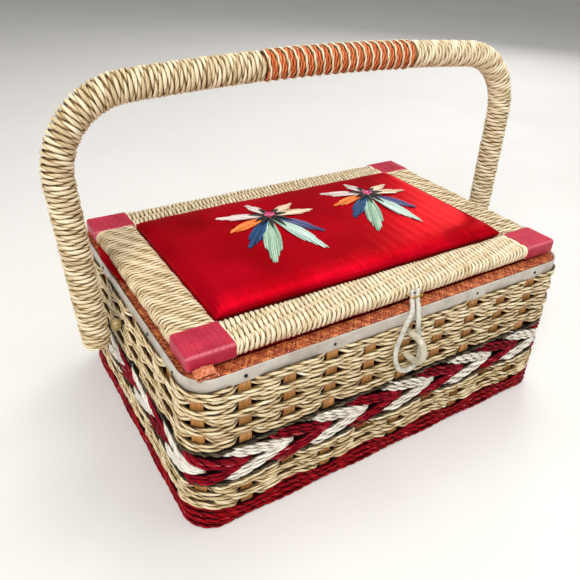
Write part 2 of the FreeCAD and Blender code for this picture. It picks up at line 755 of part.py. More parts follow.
hoop_seat_y = -(half_depth + weave_face(hoop_high) - size("latch_hoop_seat")).value
hoop_front_y = -(half_depth + weave_face(hoop_high) + size("latch_hoop_reach")).value
hoop_x = -size("hoop_place").value
bend = size("latch_hoop_bend").value


def hoop_bend(height, way):
    """The quarter bend of the latch hoop at one end of its front run."""
    corner = Vector(hoop_x, hoop_front_y + bend, height - way * bend)
    diagonal = bend * math.sqrt(0.5)
    start = Vector(hoop_x, hoop_front_y + bend, height)
    middle = corner + Vector(0, -diagonal, way * diagonal)
    end = Vector(hoop_x, hoop_front_y, height - way * bend)
    return start, middle, end


upper_bend = hoop_bend(hoop_high.value, 1)
lower_bend = hoop_bend(hoop_low.value, -1)[::-1]
hoop_path = Part.Wire([
    Part.LineSegment(Vector(hoop_x, hoop_seat_y, hoop_high.value), upper_bend[0]).toShape(),
    Part.Arc(*upper_bend).toShape(),
    Part.LineSegment(upper_bend[2], lower_bend[0]).toShape(),
    Part.Arc(*lower_bend).toShape(),
    Part.LineSegment(lower_bend[2], Vector(hoop_x, hoop_seat_y, hoop_low.value)).toShape(),
])
latch_hoop = tube("latch_hoop", hoop_path, size("latch_hoop_tube"))

# Handle: middle line in its own upright plane
splay = math.radians(size("leg_splay").value)
up_leg = Vector(math.sin(splay), 0, math.cos(splay))
inward = Vector(-math.cos(splay), 0, math.sin(splay))
pivot = Vector(leg_place.value, 0, pivot_height.value)
shoulder = size("shoulder_radius").value
crown = size("crown_radius").value
crown_middle = Vector(0, 0, size("handle_top").value - crown)


def shoulder_middle():
    """Middle of the right shoulder bend: tangent to the leg and, from inside, to the grip's arch."""
    start = pivot + inward * shoulder - crown_middle
    along = start.dot(up_leg)
    square = along * along - start.dot(start) + (crown - shoulder) ** 2
    return crown_middle + start + up_leg * (math.sqrt(square) - along)


bend_middle = shoulder_middle()
leg_top = bend_middle - inward * shoulder
outward = (bend_middle - crown_middle).normalize()
bend_end = bend_middle + outward * shoulder
bend_half = (outward - inward).normalize() * shoulder + bend_middle


def mirrored(point):
    """The same point on the left side."""
    return Vector(-point.x, point.y, point.z)


def arch_point(x):
    """A point of the grip's arch."""
    return Vector(x, 0, crown_middle.z + math.sqrt(crown * crown - x * x))


def arch_edge(x_start, x_end):
    """A stretch of the grip's arch."""
    middle = arch_point((x_start + x_end) / 2)
    return Part.Arc(arch_point(x_start), middle, arch_point(x_end)).toShape()


def leg_edges(side, foot_drop):
    """Leg and shoulder of one side, from the foot up to the arch."""
    foot = pivot - up_leg * foot_drop
    points = [foot, leg_top, bend_half, bend_end]
    if side < 0:
        points = [mirrored(point) for point in points]
    leg = Part.LineSegment(points[0], points[1]).toShape()
    return [leg, Part.Arc(*points[1:]).toShape()]


def reverse_wire(edges):
    """The same edges run the other way."""
    flipped = []
    for edge in reversed(edges):
        flipped.append(edge.reversed())
    return flipped


handle_place = Placement(
    Vector(), Rotation(X_AXIS, -size("handle_lean").value), Vector(0, 0, pivot_height.value))
foot_drop = size("handle_foot").value
core_drop = (size("handle_foot") - size("foot_cap")).value
grip_start = -size("grip_left").value
grip_end = size("grip_right").value


def leg_path(side, drop, stop):
    """Route of a leg's winding, up to where the grip starts or ends."""
    end_x = bend_end.x * side
    return Part.Wire(leg_edges(side, drop) + [arch_edge(end_x, stop)])


core_path = Part.Wire(
    leg_edges(-1, core_drop) + [arch_edge(-bend_end.x, bend_end.x)] + reverse_wire(leg_edges(1, core_drop)))
handle_core = tube("handle_core", core_path, size("core_radius"))
handle_room = tube("handle_room", core_path, size("core_radius") + size("wrap_gap"))


def leg_wrap(name, side, stop):
    """Winding on a leg and shoulder: closed and rounded at the foot, open where the grip starts."""
    solid = tube(f"{name}_solid", leg_path(side, foot_drop, stop), size("wrap_radius"))
    doc.recompute()
    rounded = doc.addObject("Part::Fillet", f"{name}_rounded")
    rounded.Base = solid
    radius = min(size("leg_round").value, size("wrap_radius").value / 2)
    low = solid.Shape.BoundBox.ZMin + size("wrap_radius").value
    rounded.Edges = [
        (number, radius, radius) for number, edge in enumerate(solid.Shape.Edges, start=1)
        if edge.BoundBox.ZMax < low and edge.Closed]
    return cut(name, rounded, handle_room)


handle_wrap_left = leg_wrap("handle_wrap_left", -1, grip_start)
handle_wrap_right = leg_wrap("handle_wrap_right", 1, grip_end)
grip_solid = tube("grip_solid", Part.Wire([arch_edge(grip_start, grip_end)]), size("grip_radius"))
grip_wrap = cut("grip_wrap", grip_solid, handle_room)

# Grip cord: one cream cord wound over the orange grip, on a plane that is rolled round the arch
cord_radius = size("grip_cord_radius").value
winding_radius = (size("grip_radius") + size("wrap_gap")).value + cord_radius
cord_bend = size("grip_cord_bend").value
turns = size("grip_turns").value
grip_length = crown * (math.asin(grip_end / crown) - math.asin(grip_start / crown))
butt = 2 * cord_radius


def rolled_point(around, along):
    """A point of the unrolled winding on the grip: distance round it, distance along it."""
    angle = math.asin(grip_start / crown) + along / crown
    out = Vector(math.sin(angle), 0, math.cos(angle))
    turn = around / winding_radius
    return crown_middle + out * (crown + winding_radius * math.cos(turn)) + Vector(
        0, -winding_radius * math.sin(turn), 0)


def winding_lead():
    """Slope of the winding, so that its turns fill the length between the ends."""
    lead = grip_length / (turns * 2 * math.pi * winding_radius)
    for attempt in range(20):
        slope = math.atan(lead)
        rise_in_bends = 2 * (butt + cord_bend * math.cos(slope))
        lead = (grip_length - rise_in_bends) / (turns * 2 * math.pi * winding_radius)
    return math.atan(lead)


def unrolled_stations():
    """Places (around, along) of the cord's joints: butt end, bend, half turns, bend, butt end."""
    slope = winding_lead()
    reach = cord_bend * (1 - math.sin(slope))
    rise = cord_bend * math.cos(slope)
    run = 2 * math.pi * winding_radius * turns
    half_turns = int(2 * turns)
    half_bend = math.pi / 4 + slope / 2
    middle_reach = cord_bend * (1 - math.sin(half_bend))
    middle_rise = cord_bend * math.cos(half_bend)
    places = [(0, butt), (middle_reach, butt + middle_rise)]
    for number in range(half_turns + 1):
        share = number / half_turns
        places.append((reach + run * share, butt + rise + run * math.tan(slope) * share))
    last_around = 2 * reach + run
    places.append((last_around - middle_reach, grip_length - butt - middle_rise))
    places.append((last_around, grip_length - butt))
    headings = [math.pi / 2, half_bend] + [slope] * (half_turns + 1) + [half_bend, math.pi / 2]
    return places, headings


def heading_at(place, heading):
    """Direction of the rolled cord at a station."""
    step = 0.001
    ahead = rolled_point(place[0] + step * math.cos(heading), place[1] + step * math.sin(heading))
    behind = rolled_point(place[0] - step * math.cos(heading), place[1] - step * math.sin(heading))
    return (ahead - behind).normalize()


def arc_from(start, heading, end):
    """The arc that leaves a point in a direction and reaches another point."""
    chord = end - start
    sideways = heading - chord * (heading.dot(chord) / chord.dot(chord))
    if sideways.Length < 1e-6:
        return Part.LineSegment(start, end).toShape()
    half = heading.getAngle(chord)
    middle = (start + end) * 0.5 + sideways.normalize() * (chord.Length / 2 * math.tan(half / 2))
    return Part.Arc(start, middle, end).toShape()


def biarc(start, heading, end, end_heading):
    """Two arcs that join two points and follow both directions."""
    chord = end - start
    both = heading + end_heading
    spread = 2 * (1 - heading.dot(end_heading))
    along = chord.dot(both)
    reach = (math.sqrt(along * along + spread * chord.dot(chord)) - along) / spread
    middle = (start + end + (heading - end_heading) * reach) * 0.5
    second = arc_from(end, end_heading * -1, middle)
    return [arc_from(start, heading, middle), second.reversed()]


def grip_cord_path():
    """The cord's whole route: a straight butt, biarcs of half a turn and a straight butt."""
    places, headings = unrolled_stations()
    points = [rolled_point(*place) for place in places]
    ways = [heading_at(place, heading) for place, heading in zip(places, headings)]
    edges = [Part.LineSegment(rolled_point(0, 0), points[0]).toShape()]
    for n in range(len(points) - 1):
        edges += biarc(points[n], ways[n], points[n + 1], ways[n + 1])
    edges.append(Part.LineSegment(points[-1], rolled_point(places[-1][0], grip_length)).toShape())
    return Part.Wire(edges)


cord_path = grip_cord_path()
cord_circle = Part.Circle(rolled_point(0, 0), heading_at((0, 0), math.pi / 2), cord_radius)
profile = Part.Wire([cord_circle.toShape()])
grip_cord = coded("grip_cord", cord_path.makePipeShell([profile], True, False))


def print_least_gap():
    """Measure the wound cord's least gap to itself, on points one turn apart or more."""
    samples = cord_path.discretize(Distance=cord_radius)
    spacing = cord_path.Length / (len(samples) - 1)
    near = int(math.pi * winding_radius / spacing)
    least = min(
        (first - second).Length for n, first in enumerate(samples)
        for second in samples[n + near:n + 4 * near])
    print("grip cord turns", turns, "least gap to itself", round(least - 2 * cord_radius, 2))


print_least_gap()

# Pivots: pin from inside, washer, bead between wall and leg
pin_slack = wall_lean * size("washer_radius")
lining_inside = half_width + lining_face(pivot_height) - size("lining_thickness") - pin_slack
washer_inside = lining_inside - size("layer_gap") - size("washer_thickness")
head_inside = washer_inside - size("bead_gap") - size("pin_head_height")
bead_middle = (leg_inside + wall_outside) / 2


def on_both_sides(name, build):
    """A piece on the right pivot and its like on the left one."""
    return group(name, build(f"{name}_right", 1), build(f"{name}_left", -1))


def pivot_rod(name, side, radius, start, end):
    """A round piece on the pivot line between two distances from the middle."""
    return rod(name, radius, (start * side, 0, pivot_height), end - start, X_AXIS * side)


def pin_shape(name, side):
    """Pin with its head inside the basket and its end in the leg."""
    end = leg_place + size("pin_seat")
    shank = pivot_rod(f"{name}_shank", side, size("pin_radius"), head_inside, end)
    head = pivot_rod(
        f"{name}_head", side, size("pin_head_radius"), head_inside, head_inside + size("pin_head_height"))
    return fuse(name, shank, head)


def washer_shape(name, side):
    """Washer between the pin's head and the lining."""
    end = washer_inside + size("washer_thickness")
    disc = pivot_rod(f"{name}_disc", side, size("washer_radius"), washer_inside, end)
    return cut(name, disc, pivot_rod(f"{name}_hole", side, pivot_bore, washer_inside, end))


def bead_shape(name, side):
    """Round wooden bead on the pin."""
    ball = new_part("Sphere", f"{name}_ball", Radius=size("bead_radius"))
    bind(ball, "Placement.Base.x", bead_middle * side)
    bind(ball, "Placement.Base.z", pivot_height)
    hole = pivot_rod(
        f"{name}_hole", side, pivot_bore, bead_middle - size("bead_radius"),
        bead_middle + size("bead_radius"))
    return cut(name, ball, hole)


pivot_pins = on_both_sides("pivot_pins", pin_shape)
pivot_washers = on_both_sides("pivot_washers", washer_shape)
pivot_beads = on_both_sides("pivot_beads", bead_shape)

HANDLE_PIECES = (handle_core, handle_wrap_left, handle_wrap_right, grip_wrap, grip_cord, pivot_pins)
BASKET_PIECES = (
    base_panel, foot_band, lower_weave, chevron_band, upper_weave, stakes, wall_lining, base_pad,
    rim_strip, inner_rim_hoop, rim_braid, rim_nails, latch_hoop, rim_hinge_leaves, hinge_pins, pivot_washers,
    pivot_beads)
LID_PIECES = (
    lid_frame, wrap_front, wrap_back, wrap_left, wrap_right, *ribbons, lid_board, lid_cushion, lid_pad,
    lid_hinge_leaves, latch_staple)
LATCH_PIECES = (latch_loop,)

doc.recompute()
for piece in HANDLE_PIECES:
    piece.Placement = handle_place.multiply(piece.Placement)
doc.recompute()


def check_model(pieces):
    """Stop if any object failed or any sub-part has no sound shape."""
    for thing in doc.Objects:
        if "Invalid" in thing.State or "Error" in thing.State:
            raise RuntimeError(f"{thing.Label} failed: {thing.State}")
    for piece in pieces:
        if piece.Shape.isNull() or not piece.Shape.isValid() or not piece.Shape.Solids:
            raise RuntimeError(f"{piece.Label} has no sound solid")


all_pieces = BASKET_PIECES + LID_PIECES + LATCH_PIECES + HANDLE_PIECES
check_model(all_pieces)
os.makedirs("parts", exist_ok=True)
for piece in all_pieces:
    piece.Shape.exportStep(f"parts/{piece.Label}.step")
    box = piece.Shape.BoundBox
    print(f"{piece.Label}: {len(piece.Shape.Solids)} solids, {piece.Shape.Volume:.0f} mm3, "
          f"z {box.ZMin:.1f} to {box.ZMax:.1f}")
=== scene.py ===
"""Looks of a wicker sewing box: woven wall, wound lid rails and handle, padded satin, raffia flowers."""

import logging
import math
from dataclasses import dataclass, field
from enum import Enum

import bmesh
import bpy
import numpy as np
from mathutils import Matrix, Vector


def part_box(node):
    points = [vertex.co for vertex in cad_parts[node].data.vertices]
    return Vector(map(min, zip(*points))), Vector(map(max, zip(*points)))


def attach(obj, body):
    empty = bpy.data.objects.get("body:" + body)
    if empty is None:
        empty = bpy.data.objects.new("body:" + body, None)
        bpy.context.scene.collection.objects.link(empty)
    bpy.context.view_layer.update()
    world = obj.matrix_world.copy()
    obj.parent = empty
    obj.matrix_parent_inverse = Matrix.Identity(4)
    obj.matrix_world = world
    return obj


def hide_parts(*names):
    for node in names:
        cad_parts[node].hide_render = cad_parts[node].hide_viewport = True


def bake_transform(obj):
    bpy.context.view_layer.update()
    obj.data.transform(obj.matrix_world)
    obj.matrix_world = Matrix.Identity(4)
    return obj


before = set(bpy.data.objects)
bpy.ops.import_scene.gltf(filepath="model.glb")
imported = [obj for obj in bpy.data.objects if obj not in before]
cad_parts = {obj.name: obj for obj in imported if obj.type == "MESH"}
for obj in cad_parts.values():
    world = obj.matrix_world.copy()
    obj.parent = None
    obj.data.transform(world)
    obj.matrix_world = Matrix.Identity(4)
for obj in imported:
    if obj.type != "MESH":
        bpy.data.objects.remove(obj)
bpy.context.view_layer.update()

Tree = bpy.types.NodeTree
Node = bpy.types.Node
Socket = bpy.types.NodeSocket
Piece = bpy.types.Object
Array = np.ndarray
Point = tuple[float, float, float]

MM = 0.001
FULL_TURN = 2 * math.pi
QUARTER_TURN = math.pi / 2
# Length of one band of the wave texture at scale one
WAVE_BAND = 0.314
# Values between which most of a cloudy texture lies
CLOUD_SPAN = (0.3, 0.7)
FIBRE_SHIFT = 900.0
WELD_DISTANCE = 0.005 * MM
NAIL_CORNERS = 14
NAIL_PROFILE = ((0.0, -0.3), (1.0, -0.3), (1.0, 0.15), (0.8, 0.4), (0.45, 0.55), (0.0, 0.6))
log = logging.getLogger("sewing_box")


class Side(Enum):
    """The two ends of the box, as the sign of their X."""

    LEFT = -1
    RIGHT = 1


class Way(Enum):
    """The two long sides of the box, as the sign of their Y."""

    FRONT = -1
    BACK = 1


def linear(colour: str) -> tuple[float, float, float, float]:
    """Turn an sRGB hex colour into linear light.

    Args:
        colour: a hash sign and six hex digits.

    Returns:
        Red, green, blue and alpha.
    """
    parts = [int(colour[n:n + 2], 16) / 255 for n in (1, 3, 5)]
    lit = [part / 12.92 if part <= 0.04045 else ((part + 0.055) / 1.055) ** 2.4 for part in parts]
    return (*lit, 1.0)


def feed(tree: Tree, node: Node, links: dict) -> None:
    """Put sockets or constants into a node's inputs.

    Args:
        tree: the node tree.
        node: the node.
        links: input name or number, and the socket or constant that goes into it.
    """
    for key, value in links.items():
        if isinstance(value, Socket):
            tree.links.new(value, node.inputs[key])
        else:
            node.inputs[key].default_value = value


def add_node(tree: Tree, kind: str, links: dict | None = None,
             stops: tuple = (), **settings: object) -> Node:
    """Add one shader node with its settings and links.

    Args:
        tree: the material's node tree.
        kind: the node's type, without the ShaderNode in front.
        links: input name or number, and the socket or constant that goes into it.
        stops: places and hex colours of a colour ramp, in rising order.
        settings: the node's own properties.

    Returns:
        The new node.
    """
    node = tree.nodes.new(f"ShaderNode{kind}")
    for name, value in settings.items():
        setattr(node, name, value)
    feed(tree, node, links or {})
    for number, (place, colour) in enumerate(stops):
        ramp = node.color_ramp.elements
        element = ramp[number] if number < len(ramp) else ramp.new(place)
        element.position = place
        element.color = linear(colour)
    return node


def noise(tree: Tree, place: Socket, size: float, detail: float,
          roughness: float = 0.5, distortion: float = 0.0) -> Socket:
    """Add a cloudy texture.

    Args:
        tree: the material's node tree.
        place: where it is read.
        size: size of its clouds, in the place's own unit.
        detail: how many times finer clouds lie on them.
        roughness: how strong the finer clouds are.
        distortion: how far they are pulled about.

    Returns:
        Its grey value.
    """
    clouds = add_node(tree, "TexNoise", {"Vector": place, "Scale": 1 / size, "Detail": detail,
                                         "Roughness": roughness, "Distortion": distortion})
    return clouds.outputs["Fac"]


def stretched(tree: Tree, place: Socket, lengths: tuple) -> Socket:
    """Measure a place along each axis in a length of its own."""
    scale = tuple(1 / length for length in lengths)
    return add_node(tree, "VectorMath", {0: place, 1: scale}, operation="MULTIPLY").outputs[0]


def unit(vectors: Array) -> Array:
    """Scale each row to length one."""
    return vectors / np.maximum(np.linalg.norm(vectors, axis=-1, keepdims=True), 1e-9)


def smooth(share: Array) -> Array:
    """Ease from 0 to 1 as the share does, flat at both ends."""
    held = np.clip(share, 0.0, 1.0)
    return held * held * (3 - 2 * held)


def wander(places: Array, rng: np.random.Generator, waves: tuple = (2, 3, 5, 9)) -> Array:
    """Give a smooth unsteady line that closes on itself.

    Args:
        places: shares of the whole way round, 0 to 1.
        rng: the piece's own random numbers.
        waves: how many waves each part of the line has.

    Returns:
        A height between about -1 and 1 for each place.
    """
    line = np.zeros_like(places)
    for count in waves:
        line += np.sin(FULL_TURN * (count * places + rng.random())) / len(waves)
    return line


def graph(places: Array, knots: tuple) -> Array:
    """Read heights off a line drawn through knots, each a place and a height."""
    return np.interp(places, *np.transpose(knots))


def distances(points: Array) -> Array:
    """Distance gone along a line at each of its points."""
    return np.concatenate([[0.0], np.cumsum(np.linalg.norm(np.diff(points, axis=0), axis=1))])


def read_rows(places: Array, marks: Array, rows: Array) -> Array:
    """Read points or directions at places between marked ones."""
    return np.column_stack([np.interp(places, marks, column) for column in rows.T])


def facing(way: Point, count: int) -> Array:
    """Repeat one direction for each point of a line."""
    return np.tile(way, (count, 1))


def capped(grid: Array) -> Array:
    """Close both ends of a tube of points with a row drawn together in one point."""
    first, last = (np.broadcast_to(row.mean(axis=0), (1, *row.shape)) for row in (grid[0], grid[-1]))
    return np.concatenate([first, grid, last])


def grid_quads(rows: int, columns: int, ring: bool, loop: bool) -> Array:
    """Number the corners of each face of a grid of points.

    Args:
        rows: how many rows it has.
        columns: how many points a row has.
        ring: whether each row closes on itself.
        loop: whether the last row joins the first.

    Returns:
        Four point numbers for each face.
    """
    row = np.arange(rows if loop else rows - 1)[:, None]
    column = np.arange(columns if ring else columns - 1)[None]
    next_row = (row + 1) % rows
    next_column = (column + 1) % columns
    corners = (row * columns + column, row * columns + next_column,
               next_row * columns + next_column, next_row * columns + column)
    return np.stack(corners, axis=-1).reshape(-1, 4)


@dataclass(frozen=True, kw_only=True)
class Finish:
    """A surface finish that makes one material."""

    name: str
    roughness: float = 0.5
    gloss_change: float = 0.2
    relief: float = 0.1
    relief_strength: float = 0.5
    ior: float = 1.5
    metallic: float = 0.0
    sheen: float = 0.0
    sheen_tint: str = "#FFFFFF"
    coat: float = 0.0
    coat_roughness: float = 0.12
    specular: float = 0.5
    specular_tint: str = "#FFFFFF"

    def material(self) -> bpy.types.Material:
        """Make the material, or give the one made before.

        Returns:
            The material, which all pieces of this finish share.
        """
        made = bpy.data.materials.get(self.name)
        if made:
            return made
        made = bpy.data.materials.new(self.name)
        made.use_nodes = True
        shader = made.node_tree.nodes["Principled BSDF"]
        feed(made.node_tree, shader, {
            "Roughness": self.roughness, "Metallic": self.metallic, "IOR": self.ior,
            "Sheen Weight": self.sheen, "Sheen Tint": linear(self.sheen_tint), "Coat Weight": self.coat,
            "Coat Roughness": self.coat_roughness, "Specular IOR Level": self.specular,
            "Specular Tint": linear(self.specular_tint)})
        self.paint(made.node_tree, shader)
        return made

    def bump(self, tree: Tree, height: Socket) -> Socket:
        """Raise the surface by a texture, as far as the finish's relief in millimetres.

        Args:
            tree: the material's node tree.
            height: the texture's grey value.

        Returns:
            The raised surface's direction.
        """
        raised = add_node(tree, "Bump", {"Strength": self.relief_strength, "Distance": self.relief * MM,
                                         "Height": height})
        return raised.outputs["Normal"]

    def gloss(self, tree: Tree, shade: Socket) -> Socket:
        """Change the roughness with a cloudy texture.

        Args:
            tree: the material's node tree.
            shade: the texture's grey value.

        Returns:
            The roughness, duller where the texture is dark.
        """
        half = self.gloss_change / 2
        low, high = CLOUD_SPAN
        spread = add_node(tree, "MapRange", {
            "Value": shade, "From Min": low, "From Max": high,
            "To Min": self.roughness + half, "To Max": self.roughness - half})
        return spread.outputs["Result"]

    def paint(self, tree: Tree, shader: Node) -> None:
        """Add the colour and relief of this finish to its shader.

        Args:
            tree: the material's node tree.
            shader: its surface shader.
        """
        raise NotImplementedError


@dataclass(frozen=True, kw_only=True)
class FibreFinish(Finish):
    """Twisted straw, raffia or yarn: streaks along strands of unlike shade, and painted shade with some dirt
    in the grooves and on the inner side of each cord.
    """

    # Colour of the lowest points: the grooves' painted shade, with some dirt
    groove: str
    dark: str
    middle: str
    light: str
    # A near-white painted highlight on the palest streaks, where given
    painted_glint: str = ""
    fibre_width: float = 0.35
    fibre_length: float = 16.0
    patch_length: float = 45.0
    patch_width: float = 5.0
    patch_range: float = 0.45
    tint_range: float = 0.22
    # Painted shade with some dirt: how much darker the low points of a cord are, where that fades, and a
    # darkening of every point
    groove_dirt_and_shade: float = 0.6
    groove_span: tuple[float, float] = (0.05, 0.8)
    even_darkening: float = 0.1
    stops: tuple[float, ...] = (0.08, 0.38, 0.6, 0.82, 0.95)
    relief: float = 0.12
    relief_strength: float = 0.6

    def paint(self, tree: Tree, shader: Node) -> None:
        """Streak the colour, roughness and relief along the strand's own direction.

        Args:
            tree: the material's node tree.
            shader: its surface shader.
        """
        fibre, tint, raised = (add_node(tree, "Attribute", attribute_name=name).outputs
                               for name in ("fibre", "tint", "raised"))
        drawn = stretched(tree, fibre["Vector"], (self.fibre_width, self.fibre_width, self.fibre_length))
        streak = noise(tree, drawn, 1.0, detail=3.0, roughness=0.65)
        broad = stretched(tree, fibre["Vector"], (self.patch_width, self.patch_width, self.patch_length))
        patch = noise(tree, broad, 1.0, detail=1.0)
        mixed = add_node(tree, "Math", {0: patch, 1: self.patch_range, 2: streak}, operation="MULTIPLY_ADD")
        tinted = add_node(tree, "Math", {0: tint["Fac"], 1: self.tint_range, 2: mixed.outputs[0]},
                          operation="MULTIPLY_ADD")
        # Painted shade with some dirt: darker the lower a point lies in the cord, in its grooves and on its
        # inner side
        low, high = self.groove_span
        groove_darkening = add_node(tree, "MapRange", {"Value": raised["Fac"], "From Min": low, "From Max": high,
                                             "To Min": -self.groove_dirt_and_shade - self.even_darkening, "To Max": -self.even_darkening},
                          interpolation_type="SMOOTHSTEP")
        shade = add_node(tree, "Math", {0: tinted.outputs[0], 1: groove_darkening.outputs["Result"]}, operation="ADD")
        # The last stop, where there is one, is a painted glint: a near-white highlight on the palest streaks
        colours = [self.groove, self.dark, self.middle, self.light]
        if self.painted_glint:
            colours.append(self.painted_glint)
        colour = add_node(tree, "ValToRGB", {"Fac": shade.outputs[0]}, stops=tuple(zip(self.stops, colours)))
        feed(tree, shader, {"Base Color": colour.outputs["Color"], "Roughness": self.gloss(tree, streak),
                            "Normal": self.bump(tree, streak)})


@dataclass(frozen=True, kw_only=True)
class GrainFinish(Finish):
    """Wood or board: drawn-out grain on the piece's own place in the box, in millimetres along each axis."""

    dark: str
    light: str
    grain: Point

    def paint(self, tree: Tree, shader: Node) -> None:
        """Draw the grain in colour and relief.

        Args:
            tree: the material's node tree.
            shader: its surface shader.
        """
        place = add_node(tree, "TexCoord").outputs["Object"]
        drawn = stretched(tree, place, tuple(length * MM for length in self.grain))
        grain = noise(tree, drawn, 1.0, detail=5.0, roughness=0.6, distortion=0.4)
        stops = tuple(zip(CLOUD_SPAN, (self.dark, self.light)))
        colour = add_node(tree, "ValToRGB", {"Fac": grain}, stops=stops)
        feed(tree, shader, {"Base Color": colour.outputs["Color"], "Normal": self.bump(tree, grain)})


@dataclass(frozen=True, kw_only=True)
class ClothFinish(Finish):
    """Woven satin or ribbon: broad clouds of shade, ribs coarser than real threads, edges painted pale as a
    highlight, with some wear.
    """

    dark: str
    light: str
    # Colour of the pale edges: a painted highlight, with some wear
    worn: str = "#FFFFFF"
    rib: float = 1.1
    relief: float = 0.08
    cloud: float = 38.0

    def paint(self, tree: Tree, shader: Node) -> None:
        """Shade the cloth and raise its ribs, which run across the width.

        Args:
            tree: the material's node tree.
            shader: its surface shader.
        """
        place = add_node(tree, "TexCoord").outputs["Object"]
        cloud = noise(tree, place, self.cloud * MM, detail=2.0)
        stops = tuple(zip(CLOUD_SPAN, (self.dark, self.light)))
        colour = add_node(tree, "ValToRGB", {"Fac": cloud}, stops=stops)
        ribs = add_node(tree, "TexWave", {"Vector": place, "Scale": WAVE_BAND / (self.rib * MM) / FULL_TURN,
                                          "Distortion": 0.6, "Detail": 2.0, "Detail Scale": 0.5},
                        wave_type="BANDS", bands_direction="X")
        # Pale edges where the piece marks them: a painted highlight, with some wear
        edge = add_node(tree, "Attribute", attribute_name="worn").outputs["Fac"]
        pale_edged = add_node(tree, "Mix", {0: edge, 6: colour.outputs["Color"], 7: linear(self.worn)},
                         data_type="RGBA")
        feed(tree, shader, {"Base Color": pale_edged.outputs[2], "Normal": self.bump(tree, ribs.outputs["Fac"])})


@dataclass(frozen=True, kw_only=True)
class MouldedFinish(Finish):
    """Plastic, vinyl or metal: an even colour with dirt clouds, fine scuffs and a changing gloss."""

    clean: str
    worn: str
    cloud: float = 14.0
    scuff: float = 0.5
    relief: float = 0.03
    relief_strength: float = 0.4

    def paint(self, tree: Tree, shader: Node) -> None:
        """Cloud the colour and gloss, and add fine scuffs.

        Args:
            tree: the material's node tree.
            shader: its surface shader.
        """
        place = add_node(tree, "TexCoord").outputs["Object"]
        cloud = noise(tree, place, self.cloud * MM, detail=4.0, roughness=0.6)
        colour = add_node(tree, "ValToRGB", {"Fac": cloud}, stops=((0.35, self.worn), (0.6, self.clean)))
        scuff = noise(tree, place, self.scuff * MM, detail=2.0)
        feed(tree, shader, {"Base Color": colour.outputs["Color"], "Roughness": self.gloss(tree, cloud),
                            "Normal": self.bump(tree, scuff)})


# Straw cord: dried sea grass, hand twisted, pale and dull with brown streaks, and grooves darkened by
# painted shade with some dirt
STRAW = FibreFinish(name="straw_cord_twisted", groove="#32240F", dark="#957649", middle="#D4BE92",
                    light="#F4E8CA", roughness=0.5, specular=0.3, fibre_width=0.5, groove_dirt_and_shade=0.56)
# Straw on the lid and handle: the same cord painted a little paler, with less painted shade and dirt in its
# grooves
STRAW_WOUND = FibreFinish(name="straw_cord_wound", groove="#5C4526", dark="#AC9065", middle="#DFCDA7",
                          light="#F4E9CE", roughness=0.5, specular=0.25, fibre_width=0.5, groove_dirt_and_shade=0.45)
# Dyed straw: the dye sinks in unevenly, and near-white painted glints on the palest streaks stand for
# highlights on its smooth outer skin
RED_STRAW = FibreFinish(name="straw_cord_dyed_crimson", groove="#0C0104", dark="#46030E", middle="#7A0516",
                        light="#A40B1F", painted_glint="#E6C4C0", roughness=0.4, specular=0.04, groove_dirt_and_shade=0.64)
# Red foot cord, glossy, with the same near-white painted glints
FOOT_STRAW = FibreFinish(name="straw_cord_dyed_red_glossy", groove="#140103", dark="#560309",
                         middle="#880411", light="#B00718", painted_glint="#EDC6C2", roughness=0.35,
                         specular=0.05, groove_dirt_and_shade=0.56)
WHITE_STRAW = FibreFinish(name="straw_cord_bleached", groove="#3E352A", dark="#B8AC99", middle="#E2DBCE",
                          light="#F5F1E7", roughness=0.45, specular=0.3, fibre_width=0.5, groove_dirt_and_shade=0.55)
DARK_STRAW = FibreFinish(name="straw_cord_dyed_olive", groove="#0B0906", dark="#272017", middle="#463C2D",
                         light="#70624B", roughness=0.55, specular=0.1)
# Grip cord: soft dyed yarn, dull, with painted shade and some dirt in its grooves that leaves the raised
# turns lighter
ORANGE_CORD = FibreFinish(name="yarn_dyed_orange", groove="#3A1206", dark="#A03E15", middle="#D8672A",
                          light="#F2A368", roughness=0.6, sheen=0.1, specular=0.3)
CREAM_CORD = FibreFinish(name="straw_strand_cream", groove="#7A5A34", dark="#CDB489", middle="#EBDAB6",
                         light="#F9F0DC", roughness=0.5)
# Rust braid: flat lurex yarns, half metal, which glint where they turn to the light; its colours are
# darkened partly as painted shade of the lid over it
BRAID_YARN = FibreFinish(name="lurex_braid_rust", groove="#160504", dark="#4E160C", middle="#9A3A1A",
                         light="#DB8A4C", roughness=0.4, metallic=0.35, fibre_width=0.5, fibre_length=3.0)
# Loose end of the same braid, lying in the light: the same yarn painted paler, as a lit copy of it
BRAID_PAINTED_LIT = FibreFinish(name="lurex_braid_painted_lit", groove="#4A1A0E", dark="#8E3C22", middle="#C4663E",
                         light="#EAA478", roughness=0.45, metallic=0.2, fibre_width=0.5, fibre_length=3.0)
# Splint stakes: split cane, lacquered orange tan, with grain down its length
SPLINT = GrainFinish(name="split_cane_lacquered", dark="#9A5F2A", light="#D79A58", grain=(1.1, 1.1, 26.0),
                     roughness=0.4, coat=0.2)
# Bent hoop and frame: bare poplar, pale brown and dull
BENT_WOOD = GrainFinish(name="bent_poplar_bare", dark="#8A6238", light="#C49A63", grain=(18.0, 18.0, 0.9),
                        roughness=0.6)
# Bead: turned hardwood, stained olive and waxed
BEAD_WOOD = GrainFinish(name="turned_wood_stained_olive", dark="#7E683F", light="#B79E6C",
                        grain=(6.0, 1.2, 1.2), roughness=0.38, coat=0.2)
# Board: pressed fibre board, speckled and dull
BOARD = GrainFinish(name="pressed_fibre_board", dark="#6A4D31", light="#9C7B55", grain=(1.5, 1.5, 1.5),
                    roughness=0.75)
